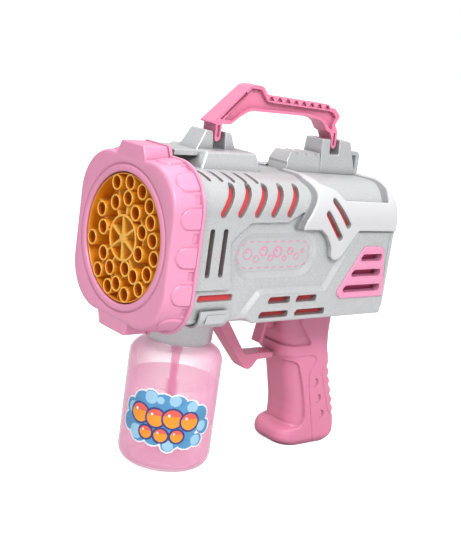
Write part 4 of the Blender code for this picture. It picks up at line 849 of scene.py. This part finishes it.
def make_nozzle():
    """Cup, bubble tubes, hub and ribs, which turn together."""
    cup = [
        (34.5, 1.6), (34.65, 1.25), (35.2, 1.25), (35.4, 1.6), (35.4, 13), (1.7, 13), (1.7, 11.6),
        (34.5, 11.6),
    ]
    turned("nozzle_cup", cup, [AMBER_DEEP], ("bubble_nozzle",), "nozzle", "X", 120)
    outer, inner, front = TUBE_OUTER, TUBE_INNER, TUBE_FRONT
    tube = [
        (inner, TUBE_BACK), (inner, front + 0.25), (inner + 0.14, front + 0.06), (inner + 0.3, front),
        (outer - 0.3, front), (outer - 0.12, front + 0.06), (outer, front + 0.25), (outer, TUBE_BACK),
    ]
    hub = [
        (HUB_INNER, TUBE_BACK), (HUB_INNER, 1.25), (HUB_INNER + 0.2, 1.0), (HUB_OUTER - 0.2, 1.0),
        (HUB_OUTER, 1.25), (HUB_OUTER, TUBE_BACK),
    ]
    boss = [(2.9, TUBE_BACK), (2.9, 1.3), (2.6, 1.0), (0.01, 1.0)]
    angles = np.linspace(0, 2 * math.pi, TUBE_STEPS, endpoint=False)
    vertices, faces, index = [], [], []

    def add_ring(radius, x, y, z):
        vertices.extend((x, y + radius * math.cos(a), z + radius * math.sin(a)) for a in angles)

    def add_turned(profile, y, z, look):
        start = len(vertices)
        for radius, x in profile:
            add_ring(radius, x, y, z)
        faces.extend(map(tuple, (grid_faces(len(profile), TUBE_STEPS, True) + start)[:, ::-1]))
        for (a, _), (b, _) in zip(profile, profile[1:]):
            index.extend([look(a, b)] * TUBE_STEPS)

    places = [polar(distance, turn) for turn, distance in TUBES]
    for y, z in places:
        add_turned(tube, y, z, tube_look)
        start = len(vertices)
        add_ring(inner, PLUG_X, y, z)
        faces.append(tuple(range(start, start + TUBE_STEPS)))
        index.append(2)
    add_turned(hub, 0, 0, hub_look)
    add_turned(boss, 0, 0, lambda a, b: 0)
    mesh = mesh_from("nozzle_tubes", vertices, faces, index, 35)
    new_object("nozzle_tubes", mesh, [AMBER, AMBER_DEEP, SHADED_AMBER], body="nozzle")
    make_nozzle_ribs(places)
    floor = [(0.01, 11.5), (34.4, 11.5), (34.4, 11.3), (0.01, 11.3)]
    turned("nozzle_floor", floor, [AMBER_DEEP], (), "nozzle", "X", 72)


def make_nozzle_ribs(places):
    bm = bmesh.new()

    def rib(a, b, half, front):
        along = (b - a) / max(np.hypot(*(b - a)), 1e-6)
        across = np.array((-along[1], along[0])) * half
        add_prism(bm, [a - across, b - across, b + across, a + across], ORDERS["X"], front, RIB_BACK)

    for turn in range(24, 384, 60):
        rib(polar(2.4, turn), polar(12.0, turn), 0.65, 1.05)
    for turn, distance in TUBES:
        if distance < 23:
            rib(polar(12.6, turn), polar(distance - 4.0, turn), 0.5, 1.6)
        else:
            rib(polar(distance + 3.9, turn), polar(34.8, turn), 0.5, 4.0)
    for i, a in enumerate(places):
        for b in places[i + 1:]:
            gap = math.hypot(*(b - a))
            if gap < 12.2:
                share = 4.0 / gap
                rib(a + (b - a) * share, b + (a - b) * share, 0.5, 3.2)
    new_object("nozzle_ribs", finished(bm, "nozzle_ribs"), [AMBER], body="nozzle")


# Bottle

def curve_points(centre, radius, start, end, steps):
    return [tuple(centre + polar(radius, start + (end - start) * k / steps)) for k in range(steps + 1)]


def bottle_line(inset):
    radius = BOTTLE_RADIUS - inset
    shoulder, foot = 9.0 - inset, 7.5 - inset
    line = [(14.3 - inset, -44.6), (14.3 - inset, -60.4), (14.9 - inset, -61.2 - inset * 0.6)]
    line += curve_points((radius - shoulder, -62.4 - inset - shoulder), shoulder, 82, 0, 12)
    line += curve_points((radius - foot, -135 + inset + foot), foot, 0, -90, 10)
    line += [(radius - foot - 3.4, -135 + inset), (radius - foot - 5.5, -134.0 + inset)]
    line += [(0.02, -133.4 + inset)]
    return line


def make_bottle():
    outside, inside = bottle_line(0), bottle_line(1.1)
    turned("bottle_wall", outside + inside[::-1], [CLEAR], ("bottle",), "bottle", closed=False)
    lower = [p for p in bottle_line(1.45) if p[1] < -86]
    profile = [(3.8, -85.0), (24.6, -85.0), (25.5, -84.6), (25.85, -84.2), (25.85, -86.5)] + lower[:-1]
    profile += [(3.8, lower[-1][1])]
    fill = turned("solution_fill", profile, [LIQUID, LIQUID_TOP], ("bubble_solution",), "bottle")
    for face in fill.data.polygons:
        if face.normal.z > 0.5:
            face.material_index = 1


def make_label():
    """Cloud-shaped sticker with bubbles."""
    half_angle, z_mid = 64.0, -102.4
    radius = BOTTLE_RADIUS + 0.4
    columns, rows = 230, 140
    turn = np.linspace(-half_angle, half_angle, columns)
    z = np.linspace(-21.0, 21.0, rows)
    a, v = np.meshgrid(np.radians(turn), z, indexing="ij")
    u = a * BOTTLE_RADIUS
    blobs = [
        (-21, 4, 6.5), (-14, 9, 7.5), (-9.5, 13.2, 5.2), (-2, 9, 8.2), (6, 10, 7.2), (13.5, 8, 6.6),
        (20, 4.5, 6.8), (24, -3, 5.6), (-22, -5, 6.6), (-15, -9, 7.0), (-6, -9, 7.2), (4, -10, 7.4),
        (13, -9.5, 7.2), (20, -10.5, 5.0), (0, 0, 13), (-12, 0, 10), (12, 0, 10), (3, -14, 5.0),
    ]
    cloud = np.minimum.reduce([np.hypot(u - x, v - y) - r for x, y, r in blobs])
    looks = np.where(cloud > -1.3, 0, 1)
    pale = ((-9.5, 13.0, 3.6), (-20.5, 3.8, 3.6), (22.6, -2.4, 3.0), (4.5, 13.0, 3.2), (-17, -9.5, 4.2),
            (19.4, -10.6, 3.0), (3.2, -14.2, 3.0), (15, 9.6, 3.2), (-3.8, 12.2, 2.0))
    for x, y, r in pale:
        looks = np.where((np.hypot(u - x, v - y) < r) & (cloud < -1.3), 2, looks)
    middle = ((-15.5, 2.2, 6.4), (-5.6, 1.4, 6.2), (4.2, 2.0, 6.4), (14.2, 0.8, 6.0), (-10.6, -8.2, 4.6),
              (-1.6, -8.6, 4.8), (7.6, -8.2, 4.6))
    for x, y, r in middle:
        d = np.hypot(u - x, v - y)
        looks = np.where((d < r) & (cloud < -0.6), 5, looks)
        looks = np.where((d < r - 0.8) & (cloud < -0.6), 3, looks)
        looks = np.where((d < r - 0.8) & (v - y > r * 0.25) & (cloud < -0.6), 4, looks)
        looks = np.where(np.hypot(u - x + r * 0.35, v - y - r * 0.3) < r * 0.16, 0, looks)
    middle_turn = math.radians(229)
    x = BOTTLE_X + radius * np.cos(a + middle_turn)
    y = radius * np.sin(a + middle_turn)
    points = np.stack([x, y, v + z_mid], -1).reshape(-1, 3)
    faces = grid_faces(columns, rows)
    keep = (cloud < 0).reshape(-1)[faces].all(axis=1)
    faces = faces[keep]
    index = looks.reshape(-1)[faces].max(axis=1)
    used, flat = np.unique(faces, return_inverse=True)
    mesh = mesh_from("sticker", points[used], flat.reshape(faces.shape), index, 60)
    materials = [LABEL_WHITE, LABEL_BLUE, LABEL_PALE, LABEL_ORANGE, LABEL_CORAL, LABEL_NAVY]
    new_object("sticker", mesh, materials, ("bottle_label",), "bottle")


def make_socket():
    profile = [
        (2.95, -38.9), (23.2, -38.9), (24.0, -39.4), (24.0, -40.4), (20.2, -41.9), (20.0, -42.4),
        (19.5, -58.9),
        (19.2, -59.6), (18.8, -59.8), (16.9, -59.8), (16.6, -59.5), (16.6, -41.3), (2.95, -41.3),
    ]
    turned("collar", profile, [SILVER], ("bottle_socket",))
    rise, front, rear = -29.6, 24.0, 44.0
    outer, inner = 2.3, 0.3
    pad = [(27.2, -36.6), (28.4, -31.6), (41.4, -31.6), (40.4, -36.6)]
    for side, word in SIDES:
        paths = []
        for out in (outer, inner):
            width, radius, base = HALF_WIDTH + out, BOTTOM_RADIUS + out, BOTTOM - out
            bend = curve_points((width - radius, base + radius), radius, 0, -90, 10)
            paths.append([(u * side, v) for u, v in [(width, rise), *bend, (12, base)]])
        saddle = prism_mesh(paths[0] + paths[1][::-1], "X", front, rear)
        bevelled(f"{word}_saddle", saddle, [SILVER], width=0.5)
        ends = sorted(((HALF_WIDTH + 2.2) * side, (HALF_WIDTH + 2.75) * side))
        bevelled(f"{word}_saddle_pad", prism_mesh(pad, "Y", *ends), [SILVER], width=0.3)


# Handle and mounts

def make_handle():
    crest = [
        (70.6, 86.4), (71.8, 87.4), (73.6, 88.2), (76.2, 88.6), (79.6, 88.6), (81.6, 88.2), (83.0, 87.2),
        (86.3, 83.4), (87.0, 83.2),
    ]
    ridges, peaks = [], []
    count, start, end = 8, 86.9, 138.6
    pitch = (end - start) / count
    for i in range(count):
        x = start + pitch * i
        z = 83.7 - 2.4 * i / count
        ridges += [(x + 0.12 * pitch, z), (x + 0.48 * pitch, z - 0.1), (x + 0.8 * pitch, z - 2.3)]
        peaks.append((x + 0.3 * pitch, z - 0.75))
    back = [(139.0, 79.7), (141.1, 79.2), (145.4, 75.7), (145.8, 74.6), (143.0, 69.8), (145.8, 65.6),
            (146.3, 57.6), (145.6, 55.9), (144.2, 55.1), (142.7, 55.8), (141.8, 57.4)]
    under = [(141.7, 61.2), (139.7, 64.6), (136.3, 66.1), (133.0, 70.2), (130.0, 71.8), (119.2, 73.6),
             (76.4, 74.1), (73.0, 73.4), (67.4, 70.2), (61.2, 65.7)]
    front = [(55.1, 65.7), (55.0, 57.4), (53.9, 56.2), (52.4, 55.7), (51.3, 56.4), (50.9, 57.4), (50.9, 65.2),
             (48.0, 65.8), (48.2, 66.6)]
    outline = crest + ridges + back + under + front
    half = 5.6
    body = prism_mesh(outline, "Y", -half, half)
    cuts = []
    web = [(56.4, 68.2), (61.6, 67.6), (68.2, 72.4), (74.2, 75.8), (119.4, 75.3), (130.2, 73.6),
           (134.6, 71.4),
           (138.0, 67.7), (140.6, 66.6), (140.8, 70.2), (142.8, 74.2), (140.0, 76.8), (136.0, 77.8),
           (90.2, 79.6), (86.4, 80.2), (80.8, 86.4), (73.6, 86.8)]
    groove = [(53.0, 68.2), (54.8, 68.2), (70.4, 83.4), (69.8, 84.6)]
    tongue_front = [(52.0, 58.4), (53.8, 58.2), (53.9, 64.8), (52.1, 64.8)]
    tongue_rear = [(143.1, 57.4), (144.9, 57.2), (144.3, 64.4), (142.9, 65.2)]
    pockets = [(web, 2.6), (groove, 2.0), (tongue_front, 1.5), (tongue_rear, 1.5)]
    for x, z in peaks:
        pockets.append(([(x - 2.2, z - 2.1), (x + 2.2, z - 2.2), (x + 0.7, z), (x - 0.7, z)], 1.6))
    for cut, depth in pockets:
        for low, high in ((half - depth, half + 2), (-half - 2, -half + depth)):
            cuts.append(prism_mesh(cut, "Y", low, high))
    bevelled("carry_handle_grip", cut_mesh(body, cuts), [HANDLE_PINK], ("carry_handle",), width=0.4)
    for word, front, rear in (("front", 49.4, 56.9), ("rear", 140.1, 147.2)):
        lug = [(front, 57.4), (rear, 57.4), (rear, 60.0), (front, 60.0)]
        bevelled(f"{word}_snap_lug", prism_mesh(lug, "Y", -2, 2), [HANDLE_PINK], width=0.3)


def drafted(name, outline, low_half, high_half, base=40, replaced=(), width=0.9):
    """A side outline made solid across y, wider at the base than at the top of its outline."""
    top = max(v for _, v in outline)

    def order(u, v, side):
        share = min(1, max(0, (v - base) / (top - base)))
        return u, side * (low_half + (high_half - low_half) * share), v

    bm = bmesh.new()
    add_prism(bm, outline, order, -1, 1)
    bevelled(name, finished(bm, name), [SILVER], replaced, width=width)


def make_front_mount():
    foot = [[(x, y, 40.8 - 0.02 * (x - 30)) for x, y in ((31.8, 21), (76.3, 21), (76.3, -21), (31.8, -21))],
            [(x, y, 51.8) for x, y in ((37.7, 17), (73.3, 17), (73.3, -17), (37.7, -17))]]
    base = loft("front_mount", foot, [SILVER], ("front_handle_mount",), capped=True)
    soften(base, 1.4)
    posts = (
        ("front_mount_post", [(36.6, 50.4), (49.0, 50.4), (48.7, 60.4), (47.8, 61.6), (43.4, 62.2)]),
        ("rear_mount_post", [(57.4, 50.4), (65.6, 50.4), (61.6, 60.8), (57.4, 61.2)]),
    )
    for name, outline in posts:
        drafted(name, outline, 8.4, 7.0, base=50)
    tongue = [(19.4, 48.2), (40, 48.2), (40, 51.2), (20.4, 51.2)]
    bevelled("front_mount_tongue", prism_mesh(tongue, "Y", -12, 12), [SILVER], width=0.6)


def make_rear_mount():
    outline = [
        (132.5, 40.2), (132.9, 61.0), (139.8, 61.0), (139.8, 52.0), (147.5, 52.0), (147.5, 60.8),
        (155.8, 60.4), (157.2, 59.4), (163.2, 39.6),
    ]
    drafted("rear_mount", outline, 9.4, 7.5, replaced=("rear_handle_mount",))
    loop = [
        (158.6, 40.4), (168.9, 40.4), (168.9, 37.4), (171.4, 37.0), (172.3, 39), (172.2, 51.0), (171.2, 53.0),
        (169.6, 53.6), (158.6, 53.6),
    ]
    slot = [(164.6, 42.9), (169.2, 42.9), (169.0, 51.2), (164.4, 51.2)]
    ring = cut_mesh(prism_mesh(loop, "Y", -2, 2), [prism_mesh(slot, "Y", -5, 5)])
    bevelled("lanyard_loop", ring, [SILVER], width=0.6)


def make_rail():
    outline = [(104.4, 41.0), (105.9, 45.2), (105.5, 46.4), (107.0, 49.6), (108.8, 52.2)]
    for i in range(3):
        x = 112.2 + 7.8 * i
        outline += [(x - 0.9, 52.4), (x, 51.8), (x + 0.8, 50.7), (x + 1.8, 50.3), (x + 2.8, 50.7),
                    (x + 3.6, 51.8), (x + 4.5, 52.4)]
    outline += [(132.7, 52.0), (132.7, 40.4)]
    drafted("wavy_rail", outline, 9.2, 7.2, replaced=("top_rail",), width=0.35)


# Grip

GRIP_LEVELS = (
    (-41.9, 118.5, 160.0), (-50.0, 118.5, 160.0), (-60.0, 118.9, 160.1), (-65.6, 120.4, 160.7),
    (-67.4, 121.3, 160.9), (-69.0, 121.6, 161.0), (-73.2, 121.6, 162.1), (-74.4, 122.2, 162.6),
    (-75.6, 124.4, 163.0), (-84.0, 127.2, 165.2), (-94.0, 130.0, 168.2), (-102.0, 132.2, 171.2),
    (-108.0, 133.8, 173.4), (-115.0, 134.7, 175.6), (-121.6, 134.9, 177.0), (-123.2, 133.2, 177.4),
    (-124.6, 129.9, 177.7), (-127.0, 128.4, 178.0), (-130.0, 128.2, 178.0), (-132.6, 129.1, 176.0),
    (-134.2, 130.8, 173.2), (-135.0, 132.2, 171.3),
)


GRIP_TOP, GRIP_BOTTOM, GRIP_HALF = -41.9, -135.0, 16.4
GRIP_ROWS, GRIP_COLUMNS = 220, 150
FRONT_BEND, REAR_BEND = 11, 8
GRIP_PANELS = (
    [(100, -77.2), (129, -77.2), (132.8, -78.4), (134.8, -80.8), (140.6, -94.3), (145.6, -110), (146.8, -116),
     (146.0, -120.4), (143.4, -123.0), (139, -123.6), (100, -123.6)],
    [(100, -30), (128.2, -30), (131.2, -52.9), (142.2, -66.0), (141.4, -67.6), (100, -67.6)],
)
GRIP_BORDER = [
    (121, -74.4), (143.6, -74.4), (147.8, -75.6), (148.8, -78.6), (145.6, -84.6), (144.6, -88), (146.2, -96),
    (150.2, -110), (154.8, -126), (157.2, -134.8),
]
GRIP_GROOVE = [(155.6, -82.5), (156.2, -88), (161.0, -101), (167.2, -115.0), (171.0, -118.4)]
GRIP_DIMPLES = ((151.4, -93.5), (156.1, -104.7), (161.0, -116.0))


def make_grip(side, name, replaced):
    """One half of the grip: sections down its length, then panels, lines and finger ridges carved in."""
    levels = np.array(GRIP_LEVELS)
    z_line = np.linspace(GRIP_TOP, GRIP_BOTTOM, GRIP_ROWS)
    front_line, rear_line = (np.interp(-z_line, -levels[:, 0], levels[:, k]) for k in (1, 2))
    sections = []
    for front, rear, z in zip(front_line, rear_line, z_line):
        half = GRIP_HALF - max(0.0, -132.0 - z) * 0.25
        path = [(front, 0.0)] + curve_points((front + FRONT_BEND, half - FRONT_BEND), FRONT_BEND, 180, 90, 24)
        path += curve_points((rear - REAR_BEND, half - REAR_BEND), REAR_BEND, 90, 0, 24) + [(rear, 0.0)]
        path = np.array(path)
        steps = np.concatenate([[0], np.cumsum(np.hypot(*np.diff(path, axis=0).T))])
        t = np.linspace(0, steps[-1], GRIP_COLUMNS)
        px, py = np.interp(t, steps, path[:, 0]), np.interp(t, steps, path[:, 1])
        dx, dy = np.gradient(px), np.gradient(py)
        norm = np.maximum(np.hypot(dx, dy), 1e-9)
        sections.append((px, py, -dy / norm, dx / norm))
    x, y, nx, ny = np.array(sections).transpose(1, 0, 2)
    z = np.repeat(z_line[:, None], GRIP_COLUMNS, 1)
    height = np.zeros(x.shape)
    for outline in GRIP_PANELS:
        height -= 1.7 * within(polygon(x, z, outline) + 0.3, 0.8)
    height -= 0.6 * within(stroke(x, z, GRIP_BORDER, 0.25), 0.7) * (ny > 0.2)
    for cx, cz in GRIP_DIMPLES:
        dimple = np.hypot(x - cx, (z - cz) * 0.8) - 2.2
        shade = np.hypot(x - cx + 1.5, (z - cz) * 0.8) - 2.2
        height -= 1.1 * within(np.maximum(dimple, -shade), 0.6) * (ny > 0.2)
    height -= 0.45 * within(stroke(x, z, GRIP_GROOVE, 0.3), 0.6) * (ny > 0.1)
    back = np.clip(nx * 1.3, 0, 1) * within(-z - 118, 4) * within(z + 80, 4)
    height -= back * (0.5 + 0.5 * np.cos((z + 84) * 2 * math.pi / 6.6))
    points = np.stack([x + nx * height, (y + ny * height) * side, z], -1)
    middle = np.array(((front_line[-1] + rear_line[-1]) / 2, 0, 0))
    inner = middle + (points[-1] - middle) * (0.92, 0.9, 1)
    points = np.concatenate([points, [inner, inner + (0, 0, 3.0)]])
    mesh = mesh_from(name, points.reshape(-1, 3), grid_faces(len(points), GRIP_COLUMNS), None, 40)
    fix_normals(mesh)
    new_object(name, mesh, [GRIP_PINK], replaced)


def make_guard():
    outline = [
        (69.0, -49.0), (69.0, -41.9), (74.2, -41.9), (85.4, -56.5), (97.0, -72.2), (98.4, -73.0),
        (118.2, -73.2),
        (118.2, -77.4), (108.8, -77.4), (104.8, -82.0), (102.4, -83.3), (99.2, -82.7), (96.4, -80.2),
    ]
    tip = [(117.5, -73.6), (120.6, -73.6), (120.6, -77.0), (117.5, -77.0)]
    half = 5.4
    bevelled("guard_bar", prism_mesh(outline, "Y", -half, half), [HANDLE_PINK], ("trigger_guard",), width=0.7)
    bevelled("guard_tip", prism_mesh(tip, "Y", -half, half), [HANDLE_PINK], width=0.4)


def make_spring():
    """The trigger's return spring, a copy of its CAD node riding the housing."""
    rear, length, travel = (139.6, 0, -54), 8.3, 3.0
    spring = new_object("return_spring", NODES["trigger_spring"].data.copy(), [], ("trigger_spring",))
    place(rear).tolist()
    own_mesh(spring)


# Stage

def camera_mix(tree, seen, other=None):
    """A shader that only camera rays see, over another for all the rest."""
    path = tree.nodes.new("ShaderNodeLightPath")
    mix = tree.nodes.new("ShaderNodeMixShader")
    tree.links.new(path.outputs["Is Camera Ray"], mix.inputs[0])
    if other:
        tree.links.new(other, mix.inputs[1])
    tree.links.new(seen, mix.inputs[2])
    return mix.outputs[0]


def make_stage():
    bm = bmesh.new()
    bmesh.ops.create_grid(bm, x_segments=2, y_segments=2, size=6)
    mesh = finished(bm, "floor", False)
    floor = linked("floor", mesh)
    material = bpy.data.materials.new("pale_floor")
    material.use_nodes = True
    tree = material.node_tree
    shader = tree.nodes["Principled BSDF"]
    shader.inputs["Base Color"].default_value = (0.55, 0.55, 0.55, 1)
    shader.inputs["Roughness"].default_value = 0.9
    shine = node(tree, "ShaderNodeEmission", Strength=0.8)
    add = tree.nodes.new("ShaderNodeAddShader")
    tree.links.new(shader.outputs[0], add.inputs[0])
    tree.links.new(camera_mix(tree, shine.outputs[0]), add.inputs[1])
    tree.links.new(add.outputs[0], tree.nodes["Material Output"].inputs["Surface"])
    mesh.materials.append(material)


def area_light(name, position, target, size, power):
    light = bpy.data.lights.new(name, "AREA")
    light.shape = "DISK"
    light.size = size
    light.energy = power
    obj = linked(name, light)
    obj.location = position
    obj.rotation_euler = (Vector(target) - Vector(position)).to_track_quat("-Z", "Y").to_euler()


def make_light():
    """A sky that brightens upwards, a white backdrop and three lights."""
    world = bpy.data.worlds.new("studio")
    world.use_nodes = True
    tree = world.node_tree
    lighting = tree.nodes["Background"]
    lighting.inputs["Color"].default_value = (1, 1, 1, 1)
    split = tree.nodes.new("ShaderNodeSeparateXYZ")
    tree.links.new(tree.nodes.new("ShaderNodeTexCoord").outputs["Generated"], split.inputs[0])
    sky = remap(tree, split.outputs["Z"], From_Min=-0.1, From_Max=0.9, To_Min=0.3)
    tree.links.new(sky, lighting.inputs["Strength"])
    backdrop = node(tree, "ShaderNodeBackground", Color=(1, 1, 1, 1), Strength=1.0)
    mix = camera_mix(tree, backdrop.outputs[0], lighting.outputs[0])
    tree.links.new(mix, tree.nodes["World Output"].inputs["Surface"])
    bpy.context.scene.world = world
    middle = (0, 0, 0.12)
    area_light("key", (-0.3, -0.85, 0.9), middle, 0.4, 10.0)
    area_light("top", (0.1, 0.3, 1.2), middle, 0.5, 3.0)
    area_light("front", (-1.1, -0.6, 0.3), middle, 0.5, 1.0)
    bpy.context.scene.view_settings.view_transform = "Standard"


def make_camera():
    camera = bpy.data.cameras.new("camera")
    camera.lens = 70.18
    camera.sensor_width = 36
    obj = linked("camera", camera)
    right = Vector((0.76929, -0.62396, 0.13736))
    up = Vector((0.03729, 0.25847, 0.9653))
    back = Vector((-0.63782, -0.73747, 0.2221))
    turn = Matrix((right, up, back)).transposed().to_4x4()
    turn.translation = Vector(place((-326.867, -472.391, 117.532)).tolist())
    obj.matrix_world = turn
    bpy.context.scene.camera = obj


def main():
    paint_nodes()
    shell_relief()
    armor_relief()
    vent_relief()
    for side, word in SIDES:
        badge_print(side, f"{word}_badge_print")
        make_grip(side, f"{word}_grip_skin", (f"{word}_grip_shell",))
    refined("rear_plate", "rear_cover", [WHITE], width=0.5)
    refined("belly_pan", "belly_plate", [SILVER], width=0.6)
    refined("trigger_blade", "trigger", [HANDLE_PINK], body="trigger", width=0.6)
    refined("battery_lid", "battery_door", [GRIP_PINK], body="battery_door", width=0.25)
    make_bezel()
    make_nozzle()
    make_bottle()
    make_label()
    make_socket()
    make_handle()
    make_front_mount()
    make_rear_mount()
    make_rail()
    make_guard()
    make_spring()
    make_stage()
    make_light()
    make_camera()


main()
